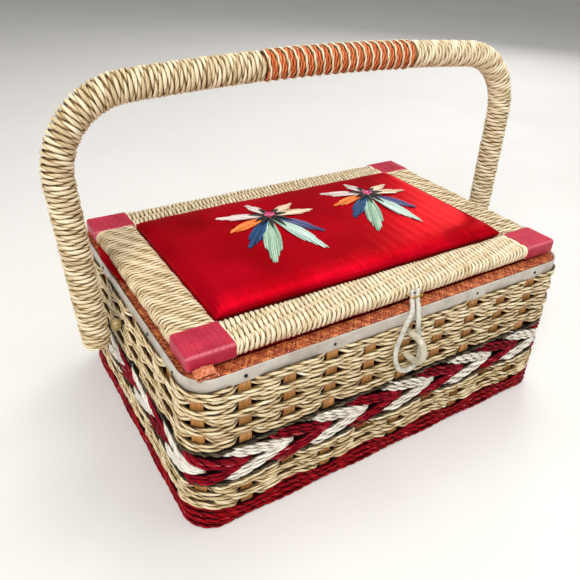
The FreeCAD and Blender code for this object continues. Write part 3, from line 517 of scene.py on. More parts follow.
# Satin: long floating threads give a broad soft highlight, bright on every turn of the form
SATIN = ClothFinish(name="rayon_satin_red", dark="#94000A", light="#C40620", roughness=0.34, metallic=0.55,
                    specular=0.02, specular_tint="#FF2030", sheen=0.1, sheen_tint="#FF4858", relief=0.14,
                    rib=1.5, cloud=60.0)
# Wrong side of the satin, against the weave: dull, and painted dark as the shade behind the lining
SATIN_BACK_PAINTED_SHADE = ClothFinish(name="rayon_satin_wrong_side", dark="#2A0408", light="#3A080C", roughness=0.8,
                         specular=0.1)
# Ribbon: corded rayon, pinker than the satin, with ribs that catch the light, and edges painted pale as a
# highlight on their rounding, with some wear
RIBBON = ClothFinish(name="rayon_ribbon_pink_red", dark="#A41B33", light="#BE2A44", worn="#DE8490",
                     roughness=0.45, sheen=0.15, sheen_tint="#FF9AA8", specular=0.3, cloud=12.0)
# Rim strip: extruded polyethylene, greyed by age, with dirt along it
RIM_PLASTIC = MouldedFinish(name="polyethylene_strip_aged", clean="#C1BAAE", worn="#AA9F91", roughness=0.38,
                            cloud=16.0)
# Latch cord and hoop: solid vinyl, ivory grey, the hoop glossier than the cord
VINYL_CORD = MouldedFinish(name="vinyl_cord_ivory_grey", clean="#CFCBBE", worn="#A9A494", roughness=0.42,
                           cloud=6.0)
VINYL_HOOP = MouldedFinish(name="vinyl_tube_ivory", clean="#CAC2AC", worn="#AFA68E", roughness=0.26,
                           cloud=8.0, coat=0.3)
# Brass: drawn wire and stamped leaf, gone dull in spots
BRASS = MouldedFinish(name="brass_drawn_dulled", clean="#D0A850", worn="#9A7632", roughness=0.32,
                      metallic=1.0, cloud=3.0)
# Steel: blued tack heads and washers, nearly black
BLUED_STEEL = MouldedFinish(name="steel_blued", clean="#2A2826", worn="#171615", roughness=0.42,
                            metallic=0.8, cloud=2.0)


@dataclass
class Route:
    """A line in space, in millimetres, with the way out of the object at each of its points."""

    points: Array
    out: Array
    closed: bool = False

    def evenly(self, step: float) -> "Route":
        """Lay new points along the line at an even distance.

        Args:
            step: distance wanted between points.

        Returns:
            The same line on the new points.
        """
        ends = [0] if self.closed else []
        points = np.vstack([self.points, self.points[ends]])
        out = np.vstack([self.out, self.out[ends]])
        gone = distances(points)
        places = np.linspace(0.0, gone[-1], max(3, round(gone[-1] / step)) + 1)
        if self.closed:
            places = places[:-1]
        return Route(read_rows(places, gone, points), unit(read_rows(places, gone, out)), self.closed)

    def axes(self) -> tuple[Array, Array, Array]:
        """Find the line's own directions.

        Returns:
            Distance gone, direction out and direction across at each point.
        """
        if self.closed:
            ahead = np.roll(self.points, -1, axis=0) - np.roll(self.points, 1, axis=0)
        else:
            ahead = np.gradient(self.points, axis=0)
        ahead = unit(ahead)
        out = unit(self.out - ahead * np.sum(self.out * ahead, axis=1, keepdims=True))
        return distances(self.points), out, np.cross(ahead, out)


@dataclass(frozen=True)
class Cord:
    """A twisted cord: thickness, length of one twist and step in millimetres, plies in shares of it."""

    diameter: float
    plies: int = 2
    lay: float = 17.0
    step: float = 1.95
    corners: int = 6
    ply_height: float = 0.265
    ply_width: float = 0.36
    spread: float = 0.23
    end_share: float = 0.1


class Strands:
    """Gathers the strands of one piece into one mesh that knows where its fibres run."""

    def __init__(self, name: str, seed: int) -> None:
        """Start an empty piece with its own random numbers.

        Args:
            name: the piece's name.
            seed: start of its random numbers.
        """
        self.name = name
        self.rng = np.random.default_rng(seed)
        self.vertices: list[Array] = []
        self.quads: list[Array] = []
        self.fibres: list[Array] = []
        self.tints: list[Array] = []
        self.raised: list[Array] = []
        self.count = 0

    def tube(self, middle: Array, side: Array, rise: Array, width: Array,
             height: Array, along: Array, closed: bool, corners: int,
             ground: Array | None = None, out: Array | None = None) -> None:
        """Add one strand.

        Args:
            middle: points of its middle line.
            side: direction of its width at each point.
            rise: direction of its height at each point.
            width: half its width at each point.
            height: half its height at each point.
            along: distance along it.
            closed: whether its end joins its start.
            corners: points of its section.
            ground: points of the cord's own middle line, where the strand is a ply of one.
            out: the ways out of the object there, in cord radii.
        """
        angle = np.arange(corners) * FULL_TURN / corners
        across = width[:, None] * np.cos(angle)
        up = height[:, None] * np.sin(angle)
        rings = middle[:, None] + side[:, None] * across[..., None] + rise[:, None] * up[..., None]
        length = np.broadcast_to(along[:, None], across.shape) + self.rng.uniform(0, FIBRE_SHIFT)
        self.vertices.append(rings.reshape(-1, 3))
        self.quads.append(grid_quads(len(middle), corners, True, closed) + self.count)
        self.fibres.append(np.stack([across, up, length], axis=-1).reshape(-1, 3))
        self.tints.append(np.full(rings.shape[0] * corners, self.rng.uniform(-0.5, 0.5)))
        # How far each point stands out from the cord's middle: the finish paints shade and some dirt where
        # it lies low
        raised = np.ones(across.shape)
        if ground is not None:
            raised = np.einsum("ijk,ik->ij", rings - ground[:, None], out)
        self.raised.append(raised.ravel())
        self.count += rings.shape[0] * corners

    def cord(self, route: Route, cord: Cord, thickness: Array | None = None) -> None:
        """Add one twisted cord along a route.

        Args:
            route: its middle line.
            cord: how it is twisted.
            thickness: share of its full thickness at each even part of the way, where it changes.
        """
        line = route.evenly(cord.step)
        along, out, across = line.axes()
        share = np.ones(len(along))
        if thickness is not None:
            share = np.interp(np.linspace(0, 1, len(along)), np.linspace(0, 1, len(thickness)), thickness)
        if not line.closed:
            share[[0, -1]] *= cord.end_share
        twists = max(1, round(along[-1] / cord.lay))
        start = self.rng.uniform(0, FULL_TURN)
        for ply in range(cord.plies):
            angle = start + FULL_TURN * (twists * np.arange(len(along)) / len(along) + ply / cord.plies)
            turn_out = np.cos(angle)[:, None]
            turn_across = np.sin(angle)[:, None]
            rise = out * turn_out + across * turn_across
            side = across * turn_out - out * turn_across
            thick = cord.diameter * share
            middle = line.points + rise * (thick * cord.spread)[:, None]
            self.tube(middle, side, rise, thick * cord.ply_width, thick * cord.ply_height, along,
                      line.closed, cord.corners, line.points, out / (cord.diameter / 2))

    def strip(self, route: Route, width: Array | float, height: Array | float, corners: int = 6) -> None:
        """Add one flat strand along a route.

        Args:
            route: its middle line.
            width: half its width, even or for each point.
            height: half its height, even or for each point.
            corners: points of its section.
        """
        along, out, across = route.axes()
        self.tube(route.points, across, out, np.broadcast_to(width, along.shape),
                  np.broadcast_to(height, along.shape), along, route.closed, corners)

    def build(self, finish: Finish) -> Piece:
        """Make the mesh object.

        Args:
            finish: what it is dressed in.

        Returns:
            The new object.
        """
        piece = make_piece(self.name, np.concatenate(self.vertices), np.concatenate(self.quads), finish)
        set_attribute(piece, "fibre", np.concatenate(self.fibres))
        set_attribute(piece, "tint", np.concatenate(self.tints))
        set_attribute(piece, "raised", np.concatenate(self.raised))
        return piece


def set_attribute(piece: Piece, name: str, values: Array) -> None:
    """Give each point of a piece the value or the direction that its finish reads.

    Args:
        piece: the piece.
        name: the name that the finish reads it by.
        values: one value or one direction for each point.
    """
    kind, key = ("FLOAT_VECTOR", "vector") if values.ndim > 1 else ("FLOAT", "value")
    attribute = piece.data.attributes.new(name, kind, "POINT")
    attribute.data.foreach_set(key, values.astype(np.float32).ravel())


def make_piece(name: str, vertices: Array, quads: Array, finish: Finish) -> Piece:
    """Make a smooth mesh object from quads.

    Args:
        name: the piece's name.
        vertices: points in millimetres.
        quads: four point numbers for each face.
        finish: what it is dressed in.

    Returns:
        The new object, linked to the scene.
    """
    mesh = bpy.data.meshes.new(name)
    mesh.vertices.add(len(vertices))
    mesh.vertices.foreach_set("co", (vertices * MM).astype(np.float32).ravel())
    mesh.loops.add(quads.size)
    mesh.loops.foreach_set("vertex_index", quads.astype(np.int32).ravel())
    mesh.polygons.add(len(quads))
    mesh.polygons.foreach_set("loop_start", np.arange(0, quads.size, 4, dtype=np.int32))
    mesh.update(calc_edges=True)
    mesh.validate()
    mesh.shade_smooth()
    mesh.materials.append(finish.material())
    piece = bpy.data.objects.new(name, mesh)
    bpy.context.scene.collection.objects.link(piece)
    return piece


def skin(name: str, grid: Array, finish: Finish, ring: bool = False,
         loop: bool = False, weld: bool = False, worn: Array | None = None) -> Piece:
    """Make a piece from a grid of points.

    Args:
        name: the piece's name.
        grid: rows of points in millimetres.
        finish: what it is dressed in.
        ring: whether each row closes on itself.
        loop: whether the last row joins the first.
        weld: whether points that meet become one.
        worn: how pale each point is painted, 0 to 1, where some are: a painted highlight with some wear.

    Returns:
        The new object.
    """
    piece = make_piece(name, grid.reshape(-1, 3), grid_quads(*grid.shape[:2], ring, loop), finish)
    if worn is not None:
        set_attribute(piece, "worn", worn.ravel())
    if weld:
        work = bmesh.new()
        work.from_mesh(piece.data)
        bmesh.ops.remove_doubles(work, verts=work.verts, dist=WELD_DISTANCE)
        bmesh.ops.recalc_face_normals(work, faces=work.faces)
        work.to_mesh(piece.data)
        work.free()
        piece.data.shade_smooth()
    return piece


def place_piece(piece: Piece, body: str, slot: str, *nodes: str) -> None:
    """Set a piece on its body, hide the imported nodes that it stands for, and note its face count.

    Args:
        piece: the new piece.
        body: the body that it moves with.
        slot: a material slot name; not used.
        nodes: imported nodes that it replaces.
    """
    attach(piece, body)
    if nodes:
        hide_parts(*nodes)
    log.info("%s on %s, %d faces", piece.name, body, len(piece.data.polygons))


def nail_head(name: str, place: Point, out: Point, radius: float) -> Piece:
    """Make one low domed nail head.

    Args:
        name: the piece's name.
        place: the middle of its flat side, in millimetres.
        out: the way that it faces.
        radius: its radius.

    Returns:
        The new object.
    """
    up = np.array([0.0, 0.0, 1.0])
    turn = np.linspace(0, FULL_TURN, NAIL_CORNERS, endpoint=False)
    ring = np.outer(np.cos(turn), np.cross(up, out)) + np.outer(np.sin(turn), up)
    rows = [np.array(place) + radius * (reach * ring + rise * np.array(out)) for reach, rise in NAIL_PROFILE]
    return skin(name, np.stack(rows), BLUED_STEEL, ring=True, weld=True)


def dress_node(finish: Finish, *nodes: str) -> None:
    """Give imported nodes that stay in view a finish.

    Args:
        finish: what they are dressed in.
        nodes: their names.
    """
    for node in nodes:
        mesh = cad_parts[node].data
        mesh.materials.clear()
        mesh.materials.append(finish.material())
        log.info("%s dressed in %s", node, finish.name)


@dataclass
class BasketWall:
    """The woven wall: stakes, natural rows, the arrow band with its dark edges, and the red foot."""

    half_x: float = 153.75
    half_y: float = 107.0
    corner: float = 18.0
    stake_step: float = 30.0
    last_stake_x: float = 120.0
    last_stake_y: float = 75.0
    stake_count: int = 34
    stake_out: float = 1.3
    lean: float = 0.02194
    front_lift: float = 2.0
    back_drop: float = 3.0
    dive_start: float = 3.4
    dive_length: float = 7.5
    dive_slope: float = 0.14
    cord: Cord = Cord(3.25, lay=23.0)
    arrow_cord: Cord = Cord(3.4, lay=20.0)
    dark_cord: Cord = Cord(3.0, lay=15.0)
    foot_cord: Cord = Cord(3.1, lay=15.0)
    foot_rows_count: int = 6
    foot_step: float = 2.45
    cord_gap: float = 1.45
    row_wave: float = 0.35
    row_ripple: float = 0.22
    row_sway: float = 0.25
    row_step: float = 6.25
    top_row: float = 107.4
    top_rows: int = 7
    top_bow: float = 0.3
    low_row: float = 33.2
    low_step: float = 4.85
    low_rows: int = 4
    low_bow: float = 0.2
    low_scallop: float = 0.35
    dark_edges: tuple = ((63.3, 0.3), (37.0, 0.9))
    dark_spread: float = 1.0
    dark_wave: float = 0.4
    dark_inset: float = 0.2
    arrow_middle: float = 50.2
    arrow_points: int = 60
    arrow_slope: float = 0.24
    arrow_reach: float = 1.55
    arrow_overlap: float = 0.14
    arrow_gap: float = 0.5
    arrow_lane: float = 2.95
    arrow_inset: float = 0.15
    arrow_drift: float = 0.5
    arrow_uneven: float = 0.2
    arrow_fan: tuple = ((-0.14, 0.3), (0.05, 0.5), (0.4, 0.9), (0.9, 1.0), (1.3, 1.0), (1.55, 0.8))
    arrow_sink: tuple = ((-0.14, 2.4), (0.0, 0.9), (0.2, 0.5), (0.6, 0.0), (1.15, 0.0), (1.35, 1.0),
                         (1.55, 3.0))
    arrow_thin: tuple = ((-0.14, 0.6), (0.0, 0.85), (0.35, 1.0))
    foot_row: float = 1.75
    foot_scallop: float = 2.8
    foot_wave: float = 0.3
    foot_bulge: float = 0.5
    foot_inset: float = 0.6
    foot_sink: float = 1.7
    samples: int = 2400

    def stations(self, count: int) -> tuple[Array, Array]:
        """Stake numbers at even steps all the way round, and the same as shares of the way."""
        station = np.linspace(0, self.stake_count, count, endpoint=False)
        return station, station / self.stake_count

    def stake_face(self, height: Array | float) -> Array | float:
        """Outer face of the stakes, past the rim strip's outline, at a height."""
        return self.stake_out - self.lean * height

    def marks(self) -> tuple[Array, Array]:
        """Measure the way round the wall from the middle of the front left corner.

        Returns:
            Distances of the ends of the straight sides and bends, and of the stakes.
        """
        reach_x = self.half_x - self.corner
        reach_y = self.half_y - self.corner
        bend = QUARTER_TURN * self.corner
        half_round = [2 * reach_x, bend, 2 * reach_y]
        ends = np.cumsum([0, bend / 2, *half_round, bend, *half_round, bend / 2])
        stakes = [0.0]
        sides = 2 * ((reach_x, self.last_stake_x), (reach_y, self.last_stake_y))
        for start, (reach, last) in zip((1, 3, 5, 7), sides):
            number = round(2 * last / self.stake_step) + 1
            stakes += list(ends[start] + reach - last + self.stake_step * np.arange(number))
            stakes.append(ends[start + 1] + bend / 2)
        return ends, np.array(stakes)

    def route(self, station: Array, past: Array, height: Array, closed: bool) -> Route:
        """Lay a line round the wall.

        Args:
            station: stake numbers along the line, from the front left corner by way of the front.
            past: distance outside the rim strip's outline.
            height: heights above the table.
            closed: whether the line goes all the way round.

        Returns:
            The line in space.
        """
        ends, stakes = self.marks()
        gone = np.interp(station % self.stake_count, np.arange(self.stake_count + 1), stakes)
        turn = np.radians(np.interp(gone, ends, [225, 270, 270, 360, 360, 450, 450, 540, 540, 585]))
        sign_x = np.interp(gone, ends, [-1, -1, 1, 1, 1, 1, -1, -1, -1, -1])
        sign_y = np.interp(gone, ends, [-1, -1, -1, -1, 1, 1, 1, 1, -1, -1])
        out = np.column_stack([np.cos(turn), np.sin(turn), np.zeros_like(turn)])
        middle = np.column_stack([sign_x * (self.half_x - self.corner), sign_y * (self.half_y - self.corner),
                                  np.broadcast_to(height, turn.shape)])
        return Route(middle + out * (self.corner + past)[:, None], out, closed)

    def away(self, station: Array, behind: int) -> Array:
        """Distance from the nearest stake that a row passes behind, every second one."""
        return np.abs((station - behind + 1.0) % 2.0 - 1.0) * self.stake_step

    def depth(self, away: Array, height: Array) -> Array:
        """Place a cord in front of the stakes or behind them.

        Args:
            away: distance from the nearest stake that it passes behind.
            height: its heights.

        Returns:
            Distance past the rim strip's outline.
        """
        dive = smooth((away - self.dive_start) / self.dive_length)
        rise = (1 - self.dive_slope) * dive + self.dive_slope * away / self.stake_step
        return self.stake_face(height) - self.back_drop + (self.front_lift + self.back_drop) * rise

    def natural_row(self, strands: Strands, height: float, behind: int, scallop: float, bow: float) -> None:
        """Weave one row of two cords.

        Args:
            strands: the piece that it goes into.
            height: its middle height.
            behind: 0 or 1, the first stake that it passes behind.
            scallop: how far the row rises at even stakes and sinks at odd ones.
            bow: how far the two cords spread between stakes.
        """
        station, share = self.stations(self.samples)
        away = self.away(station, behind)
        for lane in (-1, 1):
            gap = self.cord_gap + bow * np.sin(math.pi * away / self.stake_step) ** 2
            level = (height + scallop * np.cos(math.pi * station) + lane * gap
                     + self.row_wave * wander(share, strands.rng, (3, 7, 11))
                     + self.row_ripple * wander(share, strands.rng, (17, 29, 43)))
            past = self.depth(away, level) + self.row_sway * wander(share, strands.rng, (13, 31))
            strands.cord(self.route(station, past, level, True), self.cord)

    def natural_rows(self) -> None:
        """Weave the rows above and below the arrow band."""
        upper = Strands("upper_rows", 11)
        for number in range(self.top_rows):
            height = self.top_row - self.row_step * number
            self.natural_row(upper, height, (number + 1) % 2, 0.0, self.top_bow)
        place_piece(upper.build(STRAW), "basket", "straw_weave", "upper_weave")
        lower = Strands("lower_rows", 12)
        for number in range(self.low_rows):
            share = self.low_scallop + (1 - self.low_scallop) * number / (self.low_rows - 1)
            height = self.low_row - self.low_step * number
            self.natural_row(lower, height, number % 2, self.foot_scallop * share, self.low_bow)
        place_piece(lower.build(STRAW), "basket", "straw_weave", "lower_weave")

    def dark_rows(self) -> None:
        """Twine the two dark rows that edge the arrow band: two cords that change places at each stake."""
        strands = Strands("dark_edge_rows", 13)
        station, share = self.stations(self.samples)
        for height, scallop in self.dark_edges:
            for behind in (0, 1):
                swap = np.cos(math.pi * (station - behind))
                level = (height + scallop * np.cos(math.pi * station) - self.dark_spread * swap
                         + (behind - 0.5) * self.dark_spread
                         + self.dark_wave * wander(share, strands.rng, (5, 11, 19)))
                past = self.depth(self.away(station, behind), level) - self.dark_inset
                strands.cord(self.route(station, past, level, True), self.dark_cord)
        place_piece(strands.build(DARK_STRAW), "basket", "arrow_weave")

    def arrows(self, name: str, first: int, finish: Finish, seed: int) -> None:
        """Weave the strokes of one colour: three cords each, over one stake, that point to the right.

        Args:
            name: the piece's name.
            first: 0 or 1, the stake of the first point.
            finish: the dyed straw.
            seed: start of its random numbers.
        """
        strands = Strands(name, seed)
        share = np.linspace(0, 1, self.arrow_points)
        back = self.arrow_reach - (self.arrow_reach + self.arrow_overlap) * share
        rise = self.arrow_gap + self.arrow_slope * self.stake_step * np.maximum(back, 0)
        fan = graph(back, self.arrow_fan)
        sink = graph(back, self.arrow_sink) + self.arrow_inset
        away = np.clip(2 - back, 0, 1) * self.stake_step
        for tip in range(first, self.stake_count, 2):
            for half in (-1, 1):
                drift = strands.rng.uniform(-self.arrow_drift, self.arrow_drift)
                for lane in (-1, 0, 1):
                    level = (self.arrow_middle + half * rise + (lane * self.arrow_lane + drift) * fan
                             + strands.rng.uniform(-self.arrow_uneven, self.arrow_uneven))
                    past = self.depth(away, level) - sink
                    line = self.route((tip - back) % self.stake_count, past, level, False)
                    strands.cord(line, self.arrow_cord, graph(back, self.arrow_thin))
        place_piece(strands.build(finish), "basket", "arrow_weave", "chevron_band")

    def foot_rows(self) -> None:
        """Lay the red foot: thick glossy cords in two layers, wavy along the top and flat on the table."""
        strands = Strands("red_foot_rows", 16)
        station, share = self.stations(self.samples)
        for number in range(self.foot_rows_count):
            lift = number / (self.foot_rows_count - 1)
            for layer in (0, 1):
                level = (self.foot_row + self.foot_step * (number - 0.5 * layer * lift)
                         + self.foot_scallop * lift * np.cos(math.pi * station)
                         + self.foot_wave * lift * wander(share, strands.rng, (7, 13, 23)))
                bulge = self.foot_bulge * np.cos(math.pi * (station + number)) - self.foot_sink * layer
                past = self.stake_face(level) + self.front_lift - self.foot_inset + bulge
                strands.cord(self.route(station, past, level, True), self.foot_cord)
        place_piece(strands.build(FOOT_STRAW), "basket", "red_weave", "foot_band")

    def build(self) -> None:
        """Weave the whole wall and dress its stakes and base."""
        self.natural_rows()
        self.dark_rows()
        self.arrows("white_arrows", 0, WHITE_STRAW, 14)
        self.arrows("red_arrows", 1, RED_STRAW, 15)
        self.foot_rows()
        dress_node(SPLINT, "stakes")
        dress_node(BOARD, "base_panel")


@dataclass
class Rim:
    """The top of the wall: plastic strip with its nails, folded rust braid, wooden hoop and pivots."""

    wall: BasketWall
    strip_low: float = 109.4
    strip_high: float = 118.4
    strip_thick: float = 1.0
    strip_wave: float = 0.2
    strip_ripple: float = 0.25
    strip_samples: int = 1400
    strip_section: tuple = ((0.0, 0.06), (0.0, 0.5), (0.0, 0.94), (-0.3, 1.0), (-0.8, 1.0), (-1.0, 0.5),
                            (-0.8, 0.0), (-0.3, 0.0))
    lap_left: float = -72.0
    lap_right: float = 68.0
    lap_thick: float = 0.45
    lap_samples: int = 120
    lap_sharp: float = 50.0
    lap_section: tuple = ((1.0, 0.1), (1.0, 0.5), (1.0, 0.9), (0.6, 0.97), (-0.2, 0.97), (-0.2, 0.5),
                          (-0.2, 0.03), (0.6, 0.03))
    braid_yarns: int = 12
    braid_wave: float = 24.0
    braid_samples: int = 9000
    braid_top: float = 117.72
    braid_outer: float = -1.5
    braid_inner: float = -11.75
    braid_low: float = 111.4
    braid_fold: float = 2.4
    braid_lift: float = 0.22
    yarn_width: float = 0.85
    yarn_height: float = 0.4
    yarn_step: float = 1.7
    yarn_corners: int = 4
    loose_start: Point = (-134.5, -101.6, 118.75)
    loose_length: float = 27.0
    loose_half_wide: float = 3.3
    loose_yarns: int = 6
    loose_samples: int = 160
    loose_wave: float = 10.08
    loose_lift: float = 0.25
    loose_fold: tuple[float, float] = (0.42, 0.2)
    loose_curl: tuple[float, float] = (0.7, 0.3)
    loose_curl_turn: float = 0.3
    loose_lean: tuple[float, float] = (0.06, 0.22)
    loose_sway: float = 0.3
    loose_sway_turn: float = 9.0
    loose_step: float = 1.0
    corner_nail: Point = (-153.7, -83.5, 112.6)
    nail_radius: float = 1.0

    def strip_grid(self, station: Array, past: Array, low: Array, section: tuple, thick: float) -> Array:
        """Lay a section of the strip along a run.

        Args:
            station: stake numbers along the run.
            past: distance outside the strip's outline there.
            low: height of the strip's low edge there.
            section: places out and up across the strip, in shares of its thickness and height.
            thick: the thickness.

        Returns:
            Rows of points, one row for each station.
        """
        columns = []
        for outward, rise in section:
            height = low + (self.strip_high - low) * rise
            columns.append(self.wall.route(station, past + outward * thick, height, False).points)
        return np.stack(columns, axis=1)

    def strip(self) -> None:
        """Make the plastic strip, slightly wavy, and the second length that laps over it along the front."""
        rng = np.random.default_rng(21)
        station, share = self.wall.stations(self.strip_samples)
        past = self.strip_wave * wander(share, rng)
        low = self.strip_low + self.strip_ripple * wander(share, rng, (5, 9, 14))
        grid = self.strip_grid(station, past, low, self.strip_section, self.strip_thick)
        plain = skin("rim_strip_plain", grid, RIM_PLASTIC, ring=True, loop=True)
        place_piece(plain, "basket", "rim_plastic", "rim_strip")
        ends, stakes = self.wall.marks()
        front = ends[1] + self.wall.half_x - self.wall.corner
        run = np.linspace(self.lap_left, self.lap_right, self.lap_samples) + front
        on_lap = np.interp(run, stakes, np.arange(len(stakes)))
        past, low = (np.interp(on_lap, station, line) for line in (past, low))
        grid = self.strip_grid(on_lap, past, low, self.lap_section, self.lap_thick)
        lap = skin("rim_strip_lap", capped(grid), RIM_PLASTIC, ring=True, weld=True)
        lap.data.set_sharp_from_angle(angle=math.radians(self.lap_sharp))
        place_piece(lap, "basket", "rim_plastic")

    @staticmethod
    def crossing(swing: Array, yarns: int) -> Array:
        """How far a yarn lies over its neighbours, -1 to 1, as it swings across the braid and back."""
        return np.where(swing < 0.5, 1, -1) * np.sin(FULL_TURN * swing * yarns / 2)

    def braid(self) -> None:
        """Braid flat yarns over the top of the rim and down inside it."""
        strands = Strands("rim_braid_yarns", 22)
        top_width = self.braid_outer - self.braid_inner
        whole = top_width + self.braid_top - self.braid_low
        ends, stakes = self.wall.marks()
        waves = round(ends[-1] / self.braid_wave)
        station, _ = self.wall.stations(self.braid_samples)
        gone = np.interp(station, np.arange(self.wall.stake_count + 1), stakes) / ends[-1]
        for yarn in range(self.braid_yarns):
            swing = (gone * waves + yarn / self.braid_yarns) % 1.0
            across = whole * (1 - np.abs(2 * swing - 1))
            lift = self.crossing(swing, self.braid_yarns) * self.braid_lift
            folded = (across - top_width) / self.braid_fold + 0.5
            turned = np.clip(folded, 0, 1) * QUARTER_TURN
            past = np.maximum(self.braid_outer - across, self.braid_inner) + lift * np.sin(turned)
            height = np.minimum(self.braid_top, self.braid_top - across + top_width) + lift * np.cos(turned)
            line = self.wall.route(station, past, height, True)
            line.out = -line.out * np.sin(turned)[:, None] + np.array([0, 0, 1]) * np.cos(turned)[:, None]
            strands.strip(line.evenly(self.yarn_step), self.yarn_width, self.yarn_height, self.yarn_corners)
        place_piece(strands.build(BRAID_YARN), "basket", "rust_braid", "rim_braid")

    def loose_end(self) -> None:
        """Fold the braid's loose end back over itself, on the rim's front left corner."""
        strands = Strands("rim_braid_loose_end", 23)
        share = np.linspace(0, 1, self.loose_samples)
        step = self.loose_length / len(share)
        bends = (self.loose_fold, self.loose_curl)
        fold, curl = (smooth((share - start) / length) for start, length in bends)
        heading = math.pi * fold + self.loose_curl_turn * curl
        x = self.loose_start[0] - step * np.cumsum(np.cos(heading))
        z = self.loose_start[2] + step * np.cumsum(np.sin(heading))
        lean = np.interp(share, (0, 1), self.loose_lean)
        out = np.column_stack([np.sin(heading), np.zeros_like(share), np.cos(heading)])
        sway = self.loose_sway * np.sin(self.loose_sway_turn * share)
        for yarn in range(self.loose_yarns):
            swing = (share * self.loose_length / self.loose_wave + yarn / self.loose_yarns) % 1.0
            across = self.loose_half_wide * (1 - 2 * np.abs(2 * swing - 1)) + sway
            over = self.crossing(swing, self.loose_yarns) * self.loose_lift
            points = np.column_stack([x, self.loose_start[1] + across * np.cos(lean),
                                      z + (across + self.loose_half_wide) * np.sin(lean)])
            line = Route(points + out * over[:, None], out).evenly(self.loose_step)
            strands.strip(line, self.yarn_width, self.yarn_height, self.yarn_corners)
        place_piece(strands.build(BRAID_PAINTED_LIT), "basket", "rust_braid")

    def build(self) -> None:
        """Make the rim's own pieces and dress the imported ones."""
        self.strip()
        self.braid()
        self.loose_end()
        nail = nail_head("corner_nail", self.corner_nail, (-1.0, 0.0, 0.0), self.nail_radius)
        place_piece(nail, "basket", "steel")
        dress_node(BLUED_STEEL, "rim_nails", "pivot_washers", "pivot_pins")
        dress_node(BENT_WOOD, "inner_rim_hoop")
        dress_node(BRASS, "rim_hinge_leaves", "hinge_pins", "lid_hinge_leaves")
        dress_node(BEAD_WOOD, "pivot_beads")


@dataclass
class PaddedPanel:
    """A padded satin panel: a flat back, a rolled edge and a crowned face with fine gathers at its edges."""

    name: str
    node: str
    body: str
    face_up: bool = True
    edge_share: float = 0.25
    side_roll: float = 9.0
    front_roll: float = 9.0
    crown: float = 1.2
    swell: float = 0.0
    gather: float = 0.22
    gather_step: float = 1.9
    gather_range: tuple[float, float] = (0.3, 1.0)
    gather_starts: tuple[float, float] = (0.55, 0.6)
    gather_ease: float = 0.4
    flat_gather: float = 0.08
    slack: float = 0.35
    bend_x: float = 0.0
    fill: float = 0.7
    seed: int = 31
    columns: int = 400
    rows: int = 110
    back_step: int = 8
    low: Vector = field(init=False)
    high: Vector = field(init=False)
    half_x: float = field(init=False)
    half_y: float = field(init=False)
    corner: float = field(init=False)

    def __post_init__(self) -> None:
        """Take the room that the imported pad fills, and round its corners where a bend is given."""
        low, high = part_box(self.node)
        self.low = low / MM
        self.high = high / MM
        self.half_x = (self.high.x - self.low.x) / 2
        self.half_y = (self.high.y - self.low.y) / 2
        self.corner = self.high.x - self.bend_x if self.bend_x else 0.0

    def half_depth(self, x: Array) -> Array:
        """Half the panel's depth at distances from its middle along its width, less round its corners."""
        past = np.clip(np.abs(x) - self.half_x + self.corner, 0, self.corner)
        return self.half_y - self.corner + np.sqrt(self.corner ** 2 - past ** 2)

    def rise(self, x: Array, y: Array) -> Array:
        """Height of the face above the panel's back, without its gathers.

        Args:
            x: distances from the panel's middle, along its width.
            y: distances from the panel's middle, along its depth.

        Returns:
            Heights in millimetres.
        """
        thick = self.high.z - self.low.z + self.swell
        turned_x = np.clip(1 - (self.half_x - np.abs(x)) / self.side_roll, 0, 1)
        turned_y = np.clip(1 - (self.half_y - np.abs(y)) / self.front_roll, 0, 1)
        round_edge = np.sqrt(np.clip(1 - turned_x ** 2, 0, 1) * np.clip(1 - turned_y ** 2, 0, 1))
        edge = thick * self.edge_share
        dome = self.crown * (1 - (x / self.half_x) ** 2) * (1 - (y / self.half_y) ** 2)
        return edge + (thick - self.crown - edge) * round_edge + dome

    def gathers(self, x: Array, y: Array) -> Array:
        """Lay fine uneven ridges along the panel's depth, strongest at the front and back edges.

        Args:
            x: distances from the panel's middle, along its width.
            y: distances from the panel's middle, along its depth.

        Returns:
            Heights in millimetres.
        """
        rng = np.random.default_rng(self.seed)
        knots = np.arange(x.min(), x.max() + self.gather_step, self.gather_step / 2)
        ridge = rng.uniform(*self.gather_range, len(knots)) * np.where(np.arange(len(knots)) % 2, 1.0, -1.0)
        outward = np.abs(y) / self.half_y
        ridged, slack = (smooth((outward - start) / self.gather_ease) for start in self.gather_starts)
        strength = self.flat_gather + (1 - self.flat_gather) * ridged
        uneven = self.slack * wander((x - x.min()) / (x.max() - x.min()), rng)
        return self.gather * np.interp(x, knots, ridge) * strength + uneven * slack

    def build(self, finish: Finish) -> None:
        """Make the closed panel and set it in its place.

        Args:
            finish: what it is dressed in.
        """
        x, y = np.meshgrid(np.linspace(-self.half_x, self.half_x, self.columns),
                           np.linspace(-1, 1, self.rows), indexing="ij")
        y = y * self.half_depth(x)
        face = self.rise(x, y) + self.gathers(x, y)
        sign = 1 if self.face_up else -1
        base = self.low.z if self.face_up else self.high.z
        middle = (self.low + self.high) / 2
        front, back = (np.stack([x + middle.x, y + middle.y, base + sign * level], axis=-1)
                       for level in (face, np.zeros_like(face)))
        grid = np.concatenate([front, back[:, ::-1][:, ::self.back_step], front[:, :1]], axis=1)
        piece = skin(self.name, capped(grid), finish, weld=True)
        place_piece(piece, self.body, "satin", self.node)


